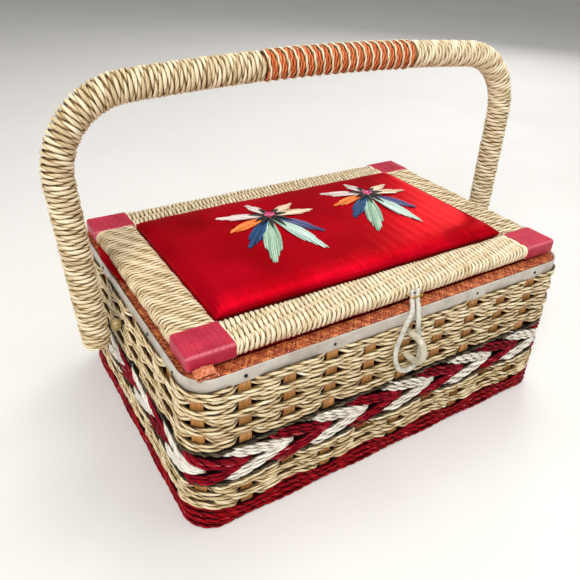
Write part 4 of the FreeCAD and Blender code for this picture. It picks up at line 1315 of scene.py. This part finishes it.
@dataclass
class Lid:
    """The lid: four wound rails, ribbon corners, board, and padded satin on both faces."""

    half_x: float = 150.0
    half_y: float = 97.2
    side_rail: float = 30.0
    long_rail: float = 27.0
    low: float = 118.7
    high: float = 129.7
    edge: float = 4.0
    pitch: float = 3.5
    long_cord: Cord = Cord(3.55, lay=23.3, corners=8, ply_width=0.4)
    side_cord: Cord = Cord(3.4, lay=24.7, corners=8, ply_width=0.35, spread=0.24)
    tuck: float = 1.6
    turn_points: int = 90
    uneven: float = 0.08
    ribbon_rib: float = 1.15
    ribbon_relief: float = 0.3
    ribbon_range: tuple[float, float] = (0.3, 1.0)
    ribbon_first_turn: float = 0.1
    ribbon_edge: float = 2.4
    ribbon_end: float = 2.0
    ribbon_rows: int = 130
    ribbon_end_rows: int = 12
    ribbon_points: int = 96
    # Pale ribbon edges on the rounded corners of the section: a painted highlight, with some wear
    edge_highlight_from: float = 0.35
    edge_highlight_range: tuple[float, float] = (0.4, 1.0)
    seam: float = 0.5
    rim_bend_x: float = 135.75
    fold_back: float = 68.0
    fold_front: float = 12.0
    fold_bulge: float = 2.7
    fold_flat: float = 0.8
    fold_end: tuple[float, float] = (0.35, 0.3)
    fold_blunt: float = 0.7
    fold_out: float = 0.55
    fold_tuck: float = 0.6
    fold_rise: float = 1.1
    fold_pleat: float = 0.16
    fold_pleats: int = 5
    fold_twist: float = 7.0
    fold_rows: int = 90
    fold_points: int = 28
    cushion: PaddedPanel = field(init=False)

    @property
    def half_high(self) -> float:
        """Half the height of the rails."""
        return (self.high - self.low) / 2

    @property
    def middle_z(self) -> float:
        """Height of the middle of the rails above the table."""
        return (self.low + self.high) / 2

    def section(self, half_wide: float, half_high: float, radius: float,
                share: Array) -> tuple[Array, Array]:
        """Go round a rounded rectangle at an even pace, from the middle of its top.

        Args:
            half_wide: half its width.
            half_high: half its height.
            radius: its corner radius.
            share: shares of the way round.

        Returns:
            Points (wide, high) and the ways out of the rectangle.
        """
        wide = half_wide - radius
        high = half_high - radius
        bend = QUARTER_TURN * radius
        ends = np.cumsum([0, wide, bend, 2 * high, bend, 2 * wide, bend, 2 * high, bend, wide])
        gone = (share % 1.0) * ends[-1]
        turn = np.radians(np.interp(gone, ends, [90, 90, 0, 0, -90, -90, -180, -180, -270, -270]))
        middle_x = np.interp(gone, ends, np.array([0, 1, 1, 1, 1, -1, -1, -1, -1, 0]) * wide)
        middle_y = np.interp(gone, ends, np.array([1, 1, 1, -1, -1, -1, -1, 1, 1, 1]) * high)
        out = np.column_stack([np.cos(turn), np.sin(turn)])
        return np.column_stack([middle_x, middle_y]) + out * radius, out

    def wind_rail(self, end: str, middle: tuple[float, float], half_wide: float, half_length: float,
                  along_x: bool, seed: int) -> None:
        """Wind one rail with straw cord from end to end.

        Args:
            end: which rail it is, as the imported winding's name has it.
            middle: X and Y of the rail's middle.
            half_wide: half the rail's width.
            half_length: half its length.
            along_x: whether the rail runs along X.
            seed: start of its random numbers.
        """
        strands = Strands(f"{end}_rail_winding", seed)
        cord = self.long_cord if along_x else self.side_cord
        inset = cord.diameter / 2
        half_length = half_length + self.tuck
        turns = (2 * half_length - cord.diameter) / self.pitch
        share = np.linspace(-1, turns + 1, int((turns + 2) * self.turn_points))
        points, out = self.section(half_wide - inset, self.half_high - inset, self.edge - inset, share)
        knots = np.arange(0, turns + 1, 0.5)
        run = self.pitch * share + self.uneven * np.interp(share, knots, strands.rng.normal(size=len(knots)))
        run = np.clip(run, 0, self.pitch * turns) - half_length + inset
        order = [0, 1, 2] if along_x else [1, 0, 2]
        laid = np.column_stack([run, points])[:, order] + np.array([*middle, self.middle_z])
        strands.cord(Route(laid, np.column_stack([np.zeros_like(run), out])[:, order]), cord)
        place_piece(strands.build(STRAW_WOUND), "lid", "straw_winding", f"wrap_{end}")

    def rails(self) -> None:
        """Wind the four rails."""
        rail_x = self.half_x - self.side_rail / 2
        rail_y = self.half_y - self.long_rail / 2
        for number, way in enumerate(Way):
            self.wind_rail(way.name.lower(), (0.0, way.value * rail_y), self.long_rail / 2,
                           self.half_x - self.side_rail, True, 41 + number)
        for number, side in enumerate(Side):
            self.wind_rail(side.name.lower(), (side.value * rail_x, 0.0), self.side_rail / 2,
                           self.half_y - self.long_rail, False, 45 + number)

    def ribbon(self, way: Way, side: Side) -> None:
        """Wrap one corner in ribbed ribbon: ribs round the front or back edge, a soft round end.

        Args:
            way: front or back.
            side: left or right.
        """
        rng = np.random.default_rng(50 + way.value + 2 * side.value)
        length = self.side_rail - self.seam
        depth = rng.uniform(*self.ribbon_range, round(length / self.ribbon_rib) + 2)
        rounding = np.linspace(self.ribbon_first_turn, QUARTER_TURN, self.ribbon_end_rows)
        run = np.concatenate([np.linspace(0.0, length - self.ribbon_end, self.ribbon_rows),
                              length - self.ribbon_end * np.cos(rounding)])
        half_wide = (self.long_rail - self.seam) / 2
        share = np.linspace(0, 1, self.ribbon_points, endpoint=False)
        points, out = self.section(half_wide, self.half_high, self.ribbon_edge, share)
        on_top = np.maximum(out[:, 1:], 0) ** 2
        # Painted highlight with some wear on the rounded edges, paler in some rows than others
        edge_highlight = np.clip(np.abs(out[:, 0] * out[:, 1]) * 2 - self.edge_highlight_from, 0, 1)
        rows = []
        worn = []
        for place in run:
            left = np.clip((length - place) / self.ribbon_end, 0, 1)
            shrink = self.ribbon_end * (1 - math.sqrt(1 - (1 - left) ** 2))
            deep = self.ribbon_relief * depth[int(place / self.ribbon_rib)]
            rib = deep * (math.cos(FULL_TURN * place / self.ribbon_rib) - 1) * on_top
            shrunk = points * (1 - shrink / np.array([half_wide, self.half_high])) + out * rib * left
            x = np.full(len(share), side.value * (self.half_x - length + place))
            y = way.value * (self.half_y - half_wide) + shrunk[:, 0]
            rows.append(np.column_stack([x, y, shrunk[:, 1] + self.middle_z]))
            worn.append(edge_highlight * rng.uniform(*self.edge_highlight_range))
        name = f"ribbon_{way.name.lower()}_{side.name.lower()}"
        piece = skin(f"{name}_wrap", capped(np.stack(rows)), RIBBON, ring=True, weld=True,
                     worn=np.pad(np.stack(worn), ((1, 1), (0, 0))))
        place_piece(piece, "lid", "ribbon", name)

    def loose_satin(self) -> None:
        """Let a fold of the underside's satin bulge out between the left rail and the rim, near the back."""
        share = np.linspace(0, 1, self.fold_rows)
        turn = np.linspace(0, FULL_TURN, self.fold_points, endpoint=False)
        fat = np.sin(math.pi * share)[:, None] ** self.fold_blunt
        least_wide, least_tall = self.fold_end
        wide = least_wide + self.fold_bulge * fat
        tall = least_tall + self.fold_flat * self.fold_bulge * fat
        ridges = np.cos(self.fold_pleats * turn[None] + self.fold_twist * share[:, None])
        pleat = 1 + self.fold_pleat * ridges * fat
        x = -self.half_x - self.fold_out * wide + self.fold_tuck + wide * np.cos(turn) * pleat
        y = np.broadcast_to((self.fold_back + (self.fold_front - self.fold_back) * share)[:, None], x.shape)
        z = self.low + self.fold_rise * tall + tall * np.sin(turn) * pleat
        piece = skin("satin_fold_left", capped(np.stack([x, y, z], axis=-1)), SATIN, ring=True, weld=True)
        place_piece(piece, "lid", "satin")

    def build(self) -> None:
        """Make the whole lid."""
        self.rails()
        for way in Way:
            for side in Side:
                self.ribbon(way, side)
        self.cushion = PaddedPanel("satin_lid_panel", "lid_cushion", "lid", edge_share=0.56, side_roll=11.0,
                                   front_roll=20.0, crown=1.5, swell=3.6, slack=0.5)
        self.cushion.build(SATIN)
        pad = PaddedPanel("satin_lid_underside", "lid_pad", "lid", face_up=False, side_roll=5.0,
                          front_roll=5.0, crown=1.0, seed=32, bend_x=self.rim_bend_x, columns=240, rows=80)
        pad.build(SATIN)
        self.loose_satin()
        dress_node(BENT_WOOD, "lid_frame")
        dress_node(BOARD, "lid_board")
        dress_node(BRASS, "latch_staple")


class Raffia(Enum):
    """Raffia colours of the flowers: dark, middle and light of each."""

    WHITE = ("#A8958F", "#D4C2BB", "#F6E9E2")
    ORANGE = ("#C8520E", "#EC7524", "#FAA560")
    BLUE = ("#05203E", "#083A68", "#1E5C92")
    MINT = ("#648C72", "#8EB296", "#C8DCC6")
    PALE_MINT = ("#84A796", "#B0CDBC", "#E4F0E6")
    VIOLET = ("#2A2A52", "#444676", "#787CA6")
    CREAM = ("#B89A78", "#DFC2A0", "#F8E8D0")
    BLACK = ("#060606", "#0E0D0D", "#262423")
    PINK = ("#8E0E3C", "#DC3E7C", "#FFC4DA")

    def finish(self) -> FibreFinish:
        """Make split raffia: flat shiny strips with fine streaks along them.

        Returns:
            The finish of this colour.
        """
        dark, middle, light = self.value
        return FibreFinish(name=f"raffia_{self.name.lower()}", groove=dark, dark=dark, middle=middle,
                           light=light, roughness=0.5, specular=0.25, fibre_width=0.3,
                           fibre_length=20.0, relief=0.1)


@dataclass
class Flower:
    """One flower of split raffia, sewn on the satin: petals, a dark dart on each and knots in the middle."""

    name: str
    middle_x: float
    middle_y: float
    turn: float
    size: float
    panel: PaddedPanel
    seed: int
    petals: tuple = (
        (Raffia.WHITE, 158, 42), (Raffia.ORANGE, 196, 42), (Raffia.BLUE, 226, 54), (Raffia.MINT, 244, 73),
        (Raffia.PALE_MINT, 280, 65), (Raffia.VIOLET, 301, 47), (Raffia.CREAM, 354, 38),
        (Raffia.CREAM, 26, 32), (Raffia.WHITE, 103, 29))
    petal_start: float = 3.0
    petal_strips: int = 9
    petal_points: int = 26
    petal_shape: tuple = ((0.0, 0.12), (0.25, 0.5), (0.6, 0.95), (0.82, 1.0), (1.0, 0.92))
    strip_shape: tuple = ((0.0, 0.6), (0.35, 1.1), (0.6, 1.3), (1.0, 1.05))
    strip_arch: float = 0.8
    strip_lift: float = 0.25
    strip_half_thick: float = 0.28
    strip_foot: float = 0.35
    strip_foot_slope: float = 8.0
    strip_tip: float = 0.3
    petal_half_wide: float = 2.2
    petal_widening: float = 0.05
    petal_cut: float = 0.25
    petal_blunt: float = 0.15
    petal_slant: float = 0.8
    petal_layer: float = 0.22
    uneven_cut: float = 0.06
    uneven_bend: float = 0.35
    uneven_lift: float = 0.12
    dart_start: float = 2.0
    dart_points: int = 14
    dart_half_wide: float = 1.9
    dart_shape: tuple = ((0.0, 0.6), (0.45, 1.0), (1.0, 0.1))
    dart_share: tuple[float, float] = (0.34, 0.42)
    dart_reach: tuple[float, float] = (14.0, 23.0)
    dart_lift: float = 1.35
    dart_point: float = 5.0
    dart_offsets: tuple = (-5.0, 4.0)
    knot_count: int = 9
    knot_points: int = 16
    knot_turn: float = 2.4
    knot_step: float = 1.5
    knot_radius: float = 0.95
    knot_lift: float = 1.7
    knot_wave: float = 0.25
    knot_cord: Cord = Cord(1.6, lay=3.0, step=0.5)

    def surface(self, x: Array, y: Array) -> Array:
        """Height of the satin under a place on the lid."""
        middle = (self.panel.low + self.panel.high) / 2
        return self.panel.low.z + self.panel.rise(x - middle.x, y - middle.y)

    def strip(self, strands: Strands, heading: float, start: float, end: float, bulge: Array,
              width: Array, lift: float, point: float = 16.0) -> None:
        """Lay one strip of raffia out from the middle.

        Args:
            strands: the piece that it goes into.
            heading: its direction in radians.
            start: distance of its start from the middle.
            end: distance of its end.
            bulge: its sideways place along its length.
            width: half its width along it.
            lift: its height over the satin.
            point: how suddenly its tip narrows.
        """
        share = np.linspace(0, 1, len(bulge))
        gone = start + (end - start) * share
        x = self.middle_x + gone * math.cos(heading) - bulge * math.sin(heading)
        y = self.middle_y + gone * math.sin(heading) + bulge * math.cos(heading)
        arch = lift + self.strip_arch * np.sin(math.pi * share) + self.strip_lift
        points = np.column_stack([x, y, self.surface(x, y) + arch])
        foot = share * self.strip_foot_slope + self.strip_foot
        taper = np.minimum(1, np.minimum(foot, (1 - share) * point + self.strip_tip))
        thick = self.strip_half_thick * np.minimum(1, taper * 2)
        strands.strip(Route(points, facing((0.0, 0.0, 1.0), len(x))), width * taper, thick)

    def petal(self, strands: Strands, heading: float, length: float) -> None:
        """Lay the strips of one petal, widest past its middle, cut in steps to a blunt point.

        Args:
            strands: the piece that they go into.
            heading: the petal's direction in radians.
            length: distance of its tip from the middle.
        """
        share = np.linspace(0, 1, self.petal_points)
        half = self.petal_half_wide + self.petal_widening * length
        width = half / (self.petal_strips - 1) * graph(share, self.strip_shape)
        for number in range(self.petal_strips):
            lane = 2 * number / (self.petal_strips - 1) - 1
            slant = smooth((abs(lane) - self.petal_blunt) / self.petal_slant)
            cut = 1 - self.petal_cut * slant - strands.rng.uniform(0, self.uneven_cut)
            bend = strands.rng.uniform(-self.uneven_bend, self.uneven_bend) * share ** 2
            lift = self.petal_layer * (number % 2) + strands.rng.uniform(0, self.uneven_lift)
            bulge = half * graph(share, self.petal_shape) * lane + bend
            self.strip(strands, heading, self.petal_start, length * cut, bulge, width, lift)

    def darts(self) -> Strands:
        """Lay a short dark dart on the foot of each petal.

        Returns:
            The darts as one piece.
        """
        strands = Strands(f"{self.name}_black", self.seed + 50)
        share = np.linspace(0, 1, self.dart_points)
        slim = self.dart_half_wide * graph(share, self.dart_shape)
        for number, (_, heading, length) in enumerate(self.petals):
            turned = math.radians(heading + self.dart_offsets[number % len(self.dart_offsets)] + self.turn)
            reach = np.clip(length * strands.rng.uniform(*self.dart_share), *self.dart_reach) * self.size
            self.strip(strands, turned, self.dart_start, reach, np.zeros_like(share), slim, self.dart_lift,
                       self.dart_point)
        return strands

    def knots(self) -> Strands:
        """Heap small knots on the middle, each further round and further out than the one before.

        Returns:
            The knots as one piece.
        """
        strands = Strands(f"{self.name}_pink", self.seed + 60)
        ring = np.linspace(0, FULL_TURN, self.knot_points, endpoint=False)
        for number in range(self.knot_count):
            angle = number * self.knot_turn
            reach = self.knot_step * math.sqrt(number)
            x = self.middle_x + reach * math.cos(angle) + self.knot_radius * np.cos(ring)
            y = self.middle_y + reach * math.sin(angle) + self.knot_radius * np.sin(ring)
            level = self.surface(x, y) + self.knot_lift + self.knot_wave * np.sin(ring * 2 + number)
            out = facing((0.0, 0.0, 1.0), len(ring))
            strands.cord(Route(np.column_stack([x, y, level]), out, True), self.knot_cord)
        return strands

    def build(self) -> None:
        """Make the flower, one piece for each colour."""
        piles = {}
        for number, (colour, heading, length) in enumerate(self.petals):
            if colour not in piles:
                piles[colour] = Strands(f"{self.name}_{colour.name.lower()}", self.seed + number)
            self.petal(piles[colour], math.radians(heading + self.turn), length * self.size)
        piles[Raffia.BLACK] = self.darts()
        piles[Raffia.PINK] = self.knots()
        for colour, strands in piles.items():
            place_piece(strands.build(colour.finish()), "lid", "straw_winding")


@dataclass
class Latch:
    """The latch: a vinyl cord loop from the lid front, round a stiff hoop on the wall."""

    cord_radius: float = 1.8
    nail_radius: float = 0.85
    line_steps: int = 12
    line_step: float = 0.9
    end_share: float = 0.3
    flat_share: float = 0.92
    cord_corners: int = 12
    nail_drop: float = 1.5
    cord_out: Point = (0.0, -1.0, 0.3)
    right_strand: tuple = ((10.3, -99.3, 128.6), (10.3, -99.3, 121.4), (1.6, -111.4, 121.2),
                           (2.8, -112.2, 105.0), (8.6, -112.4, 89.0), (6.6, -112.7, 74.4))
    left_strand: tuple = ((5.7, -99.3, 128.6), (5.7, -99.3, 121.4), (-3.2, -111.2, 121.6),
                          (-10.6, -112.3, 109.0), (-15.2, -112.4, 91.0), (-8.0, -112.7, 74.4))

    def smooth_line(self) -> Array:
        """Lay a smooth spline down the right strand and up the left one.

        Returns:
            Its points in millimetres.
        """
        curve = bpy.data.curves.new("latch_loop_line", "CURVE")
        curve.dimensions = "3D"
        curve.resolution_u = self.line_steps
        spline = curve.splines.new("NURBS")
        corners = [*self.right_strand, *reversed(self.left_strand)]
        spline.points.add(len(corners) - 1)
        for point, corner in zip(spline.points, corners):
            point.co = (*(value * MM for value in corner), 1.0)
        spline.order_u = 3
        spline.use_endpoint_u = True
        holder = bpy.data.objects.new("latch_loop_line", curve)
        mesh = bpy.data.meshes.new_from_object(holder)
        points = np.array([vertex.co[:] for vertex in mesh.vertices]) / MM
        bpy.data.objects.remove(holder)
        bpy.data.curves.remove(curve)
        bpy.data.meshes.remove(mesh)
        return points

    def build(self) -> None:
        """Make the cord loop and its nail, and dress the hoop."""
        points = self.smooth_line()
        strands = Strands("latch_cord", 71)
        line = Route(points, facing(self.cord_out, len(points))).evenly(self.line_step)
        width = np.full(len(line.points), self.cord_radius)
        width[[0, -1]] *= self.end_share
        strands.strip(line, width, width * self.flat_share, self.cord_corners)
        piece = strands.build(VINYL_CORD)
        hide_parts("latch_loop")
        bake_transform(piece)
        x, y, z = self.left_strand[0]
        place = (x, y - self.cord_radius, z - self.nail_drop)
        nail = nail_head("latch_nail", place, (0.0, -1.0, 0.0), self.nail_radius)
        place_piece(nail, "lid", "steel")
        dress_node(VINYL_HOOP, "latch_hoop")


@dataclass
class Handle:
    """The bail handle: straw-wound legs and shoulders, and an orange grip with a cream strand round it."""

    pivot_x: float = 175.25
    pivot_z: float = 95.8
    splay: float = 2.6
    shoulder: float = 48.0
    crown: float = 1900.0
    top: float = 250.5
    lean: float = 3.0
    wrap_radius: float = 9.6
    foot_drop: float = 13.3
    foot_round: float = 4.5
    grip_left: float = -48.0
    grip_right: float = 72.0
    grip_radius: float = 8.8
    grip_turns: float = 18.0
    grip_end: float = 1.3
    pitch: float = 3.36
    cord: Cord = Cord(3.45, lay=22.7, corners=8, ply_width=0.38)
    orange: Cord = Cord(2.5, lay=12.0, step=1.5)
    cream: Cord = Cord(2.1, lay=14.0, step=1.4)
    leg_points: int = 60
    shoulder_points: int = 40
    winding_step: float = 0.08
    wobble: float = 0.14
    wobble_knots: int = 300
    orange_lanes: tuple[float, float] = (0.34, 0.66)
    orange_rise: float = 0.55
    cream_rise: float = 0.3
    cream_end: float = 0.8
    cream_weave: float = 0.2
    turn_points: int = 60

    def half_line(self, side: Side) -> Array:
        """Lay half of the handle's middle line, before it leans.

        Args:
            side: the end where it starts.

        Returns:
            Points from the foot to the top of the arch.
        """
        angle = math.radians(self.splay)
        up = np.array([math.sin(angle), 0, math.cos(angle)])
        inward = np.array([-math.cos(angle), 0, math.sin(angle)])
        pivot = np.array([self.pivot_x, 0, self.pivot_z])
        middle = np.array([0, 0, self.top - self.crown])
        start = pivot + inward * self.shoulder - middle
        along = start @ up
        rise = math.sqrt(along * along - start @ start + (self.crown - self.shoulder) ** 2) - along
        bend = middle + start + up * rise
        leg_top = bend - inward * self.shoulder
        out = unit(bend - middle)
        sweep = math.acos(np.clip(-inward @ out, -1, 1))
        leg = np.linspace(pivot - up * self.foot_drop, leg_top, self.leg_points)
        turn = np.linspace(0, sweep, self.shoulder_points)[1:, None]
        shoulder = bend + self.shoulder * (-inward * np.cos(turn) + up * np.sin(turn))
        arch_x = np.linspace(shoulder[-1, 0], 0, self.leg_points)[1:]
        arch = np.column_stack([arch_x, np.zeros_like(arch_x),
                                middle[2] + np.sqrt(self.crown ** 2 - arch_x ** 2)])
        line = np.concatenate([leg, shoulder, arch])
        return line * np.array([side.value, 1, 1])

    def leaned(self, points: Array, turn_only: bool = False) -> Array:
        """Lean points of the upright handle back about its pivots.

        Args:
            points: the points, or directions.
            turn_only: whether they are directions, which turn and stay in place.

        Returns:
            The leaned points.
        """
        angle = math.radians(-self.lean)
        level = points[:, 2] if turn_only else points[:, 2] - self.pivot_z
        y = points[:, 1] * math.cos(angle) - level * math.sin(angle)
        z = points[:, 1] * math.sin(angle) + level * math.cos(angle)
        return np.column_stack([points[:, 0], y, z if turn_only else z + self.pivot_z])

    def whole_line(self) -> Array:
        """The middle line from the left foot to the right one."""
        return np.concatenate([self.half_line(Side.LEFT), self.half_line(Side.RIGHT)[::-1][1:]])

    def helix(self, gone: Array, radius: Array, turn: Array) -> Route:
        """Lay a line round the handle.

        Args:
            gone: distances along the middle line from the left foot.
            radius: distances from the middle line.
            turn: angles round it, from the outside of the handle towards the front.

        Returns:
            The line in space, leaned back with the handle.
        """
        line = self.whole_line()
        marks = distances(line)
        middle = read_rows(gone, marks, line)
        ahead = unit(read_rows(gone, marks, unit(np.gradient(line, axis=0))))
        outside = np.column_stack([-ahead[:, 2], np.zeros(len(gone)), ahead[:, 0]])
        front = np.array([0.0, -1.0, 0.0])
        out = outside * np.cos(turn)[:, None] + front * np.sin(turn)[:, None]
        return Route(self.leaned(middle + out * radius[:, None]), self.leaned(out, True))

    def distance_at(self, x: float) -> float:
        """Find a place on the arch along the middle line.

        Args:
            x: the place's X.

        Returns:
            Its distance along the line from the left foot.
        """
        line = self.whole_line()
        above_legs = slice(self.leg_points, -self.leg_points)
        return float(np.interp(x, line[above_legs, 0], distances(line)[above_legs]))

    def leg(self, side: Side, seed: int) -> None:
        """Wind one leg and shoulder with straw cord, from a closed round foot up to the grip.

        Args:
            side: left or right.
            seed: start of its random numbers.
        """
        name = side.name.lower()
        strands = Strands(f"handle_winding_{name}", seed)
        whole = self.distance_at(0.0) * 2
        reach = self.distance_at(self.grip_left)
        if side is Side.RIGHT:
            reach = whole - self.distance_at(self.grip_right)
        start = self.cord.diameter / 2
        disc = self.wrap_radius - start - self.foot_round
        bend = QUARTER_TURN * self.foot_round
        length = disc + bend + reach - self.foot_round - 2 * start
        profile = np.arange(1.0, length, self.winding_step)
        angle = np.clip((profile - disc) / self.foot_round, 0, QUARTER_TURN)
        radius = np.minimum(profile, disc) + self.foot_round * np.sin(angle)
        gone = start + self.foot_round * (1 - np.cos(angle)) + np.maximum(profile - disc - bend, 0)
        turn = FULL_TURN * profile / self.pitch
        if side is Side.RIGHT:
            gone = whole - gone
            turn = -turn
        knots = np.linspace(turn.min(), turn.max(), self.wobble_knots)
        wobble = self.wobble * np.interp(turn, knots, strands.rng.normal(size=self.wobble_knots))
        strands.cord(self.helix(gone + wobble, radius, turn), self.cord)
        place_piece(strands.build(STRAW_WOUND), "handle", "straw_winding", f"handle_wrap_{name}")

    def grip(self) -> None:
        """Wind the grip: two orange cords side by side, and a cream strand over the groove beside them."""
        start = self.distance_at(self.grip_left)
        end = self.distance_at(self.grip_right)
        pitch = (end - start) / self.grip_turns
        points = int(self.grip_turns * self.turn_points)
        orange = Strands("grip_cords_orange", 83)
        radius = np.full(points, self.grip_radius - self.orange.diameter / 2 + self.orange_rise)
        share = np.linspace(-1, self.grip_turns, points)
        for lane in self.orange_lanes:
            gone = np.clip(start + pitch * (share + lane), start + self.grip_end, end - self.grip_end)
            orange.cord(self.helix(gone, radius, FULL_TURN * share), self.orange)
        place_piece(orange.build(ORANGE_CORD), "handle", "grip_orange", "grip_wrap")
        cream = Strands("grip_strand_cream", 84)
        share = np.linspace(0, self.grip_turns, points)
        gone = start + pitch * share + self.cream_weave * np.sin(FULL_TURN * share * 3)
        gone = np.clip(gone, start + self.cream_end, end - self.cream_end)
        radius = np.full(points, self.grip_radius + self.cream_rise)
        cream.cord(self.helix(gone, radius, FULL_TURN * share), self.cream)
        place_piece(cream.build(CREAM_CORD), "handle", "grip_cream", "grip_cord")

    def build(self) -> None:
        """Make the whole handle."""
        self.leg(Side.LEFT, 81)
        self.leg(Side.RIGHT, 82)
        self.grip()
        dress_node(BENT_WOOD, "handle_core")


@dataclass
class Interior:
    """The inside of the basket: a gathered satin lining on the wall and a padded base."""

    wall: BasketWall
    low: float = 4.0
    high: float = 107.0
    inset: float = 4.9
    thick: float = 0.6
    gathers: int = 150
    gather_depth: float = 0.45
    gather_shift: float = 2.0
    pivot_z: float = 95.8
    pivot_room: float = 9.0
    pivot_inset: float = 1.5
    pivot_ease: float = 8.0
    end_margin: float = 1.0
    gather_ease: float = 40.0
    least_gather: float = 0.3
    columns: int = 900
    rows: int = 36

    def lining(self) -> None:
        """Hang the lining inside the wall, with soft gathers, held back flat round the two pivots."""
        rng = np.random.default_rng(61)
        station, share = self.wall.stations(self.columns)
        heights = np.linspace(self.low, self.high, self.rows)
        shift = self.gather_shift * wander(share, rng, (5, 9, 14))
        fold = np.sin(FULL_TURN * (self.gathers * share + shift))
        bare = self.wall.route(station, np.zeros_like(station), np.zeros_like(station), True).points
        on_end = np.abs(bare[:, 0]) > self.wall.half_x - self.end_margin
        columns = []
        for layer, order in enumerate((heights, heights[::-1])):
            for height in order:
                from_pivot = np.hypot(bare[:, 1], height - self.pivot_z)
                held = on_end * (1 - smooth((from_pivot - self.pivot_room) / self.pivot_ease))
                slack = smooth((self.high - height) / self.gather_ease)
                deep = self.gather_depth * (slack * (1 - self.least_gather) + self.least_gather)
                free = self.inset + deep * (fold + 1)
                inset = free * (1 - held) + self.pivot_inset * held
                past = self.wall.stake_face(height) - inset - layer * self.thick
                columns.append(self.wall.route(station, past, np.full_like(station, height), True).points)
        piece = skin("satin_wall_lining", np.stack(columns, axis=1), SATIN, ring=True, loop=True)
        # The outer layer, against the wall, takes the satin's wrong side, painted dark as the shade behind
        # the lining
        piece.data.materials.append(SATIN_BACK_PAINTED_SHADE.material())
        column = np.arange(len(piece.data.polygons)) % len(columns)
        piece.data.polygons.foreach_set("material_index", (column < len(heights) - 1).astype(np.int32))
        place_piece(piece, "basket", "satin", "wall_lining")

    def build(self) -> None:
        """Make the lining and the padded base."""
        self.lining()
        base = PaddedPanel("satin_base_pad", "base_pad", "basket", side_roll=6.0, front_roll=6.0, crown=1.5,
                           seed=33, bend_x=self.wall.half_x - self.wall.corner, columns=260, rows=80)
        base.build(SATIN)


@dataclass
class Studio:
    """The plain studio: pale floor, soft lamps and the camera."""

    camera_place: Point = (-236.2, -329.1, 326.9)
    azimuth: float = -32.72
    elevation: float = 32.03
    roll: float = 2.45
    focal_share: float = 589.27 / 580
    sensor: float = 36.0
    nearest: float = 0.01
    floor_reach: float = 6000.0
    lamps: tuple = (("key", (-0.92, -0.86, 1.28), 0.7, 25.0), ("roll", (0.6, -0.4, 1.5), 0.9, 4.5),
                    ("fill", (1.3, -0.7, 0.9), 1.0, 2.0), ("back", (0.5, 0.5, 1.45), 0.8, 9.0),
                    ("edge", (1.35, 0.95, 0.7), 0.4, 4.5))
    lamp_aim: Point = (0.0, 0.0, 0.1)
    sky_strength: float = 0.3

    def camera(self) -> None:
        """Set the camera where the photograph was taken from."""
        turn, tilt, roll = (math.radians(angle) for angle in (self.azimuth, self.elevation, self.roll))
        back = Vector((math.sin(turn) * math.cos(tilt), -math.cos(turn) * math.cos(tilt), math.sin(tilt)))
        right = (-back).cross(Vector((0, 0, 1))).normalized()
        up = right.cross(-back)
        rolled_right = right * math.cos(roll) + up * math.sin(roll)
        rolled_up = up * math.cos(roll) - right * math.sin(roll)
        lens = bpy.data.cameras.new("camera")
        lens.sensor_width = self.sensor
        lens.lens = self.focal_share * self.sensor
        lens.clip_start = self.nearest
        holder = bpy.data.objects.new("camera", lens)
        axes = Matrix((rolled_right, rolled_up, back)).transposed().to_4x4()
        holder.matrix_world = Matrix.Translation(Vector(self.camera_place) * MM) @ axes
        bpy.context.scene.collection.objects.link(holder)
        bpy.context.scene.camera = holder

    def floor(self) -> None:
        """Lay the pale floor."""
        edges = np.array([-self.floor_reach, self.floor_reach])
        x, y = np.meshgrid(edges, edges)
        corners = np.stack([x, y, np.zeros_like(x)], axis=-1)
        paper = MouldedFinish(name="studio_paper_matte", clean="#E6E3DE", worn="#E2DFDA", roughness=0.8,
                              cloud=300.0, scuff=1.0)
        skin("floor", corners, paper)

    def lamp(self, name: str, place: Point, size: float, power: float) -> None:
        """Hang one soft square lamp that faces the box.

        Args:
            name: the lamp's name.
            place: its place in metres.
            size: its side in metres.
            power: its power in watts.
        """
        light = bpy.data.lights.new(name, "AREA")
        light.size = size
        light.energy = power
        holder = bpy.data.objects.new(name, light)
        aim = Vector(self.lamp_aim) - Vector(place)
        holder.matrix_world = Matrix.Translation(place) @ aim.to_track_quat("-Z", "Y").to_matrix().to_4x4()
        bpy.context.scene.collection.objects.link(holder)

    def build(self) -> None:
        """Set up the camera, floor, lamps and world."""
        self.camera()
        self.floor()
        for lamp in self.lamps:
            self.lamp(*lamp)
        world = bpy.data.worlds.new("studio")
        world.use_nodes = True
        sky = world.node_tree.nodes["Background"]
        feed(world.node_tree, sky, {"Color": linear("#FFFFFF"), "Strength": self.sky_strength})
        bpy.context.scene.world = world
        bpy.context.scene.view_settings.view_transform = "Standard"


def main() -> None:
    """Build the studio and every part of the box in order."""
    logging.basicConfig(level=logging.INFO, format="%(name)s: %(message)s")
    Studio().build()
    wall = BasketWall()
    wall.build()
    Rim(wall).build()
    lid = Lid()
    lid.build()
    Flower("flower_left", -30.9, 24.2, 0.0, 1.0, lid.cushion, 101).build()
    Flower("flower_right", 63.6, 25.9, -4.0, 0.97, lid.cushion, 201).build()
    Latch().build()
    Handle().build()
    Interior(wall).build()


if __name__ == "__main__":
    main()
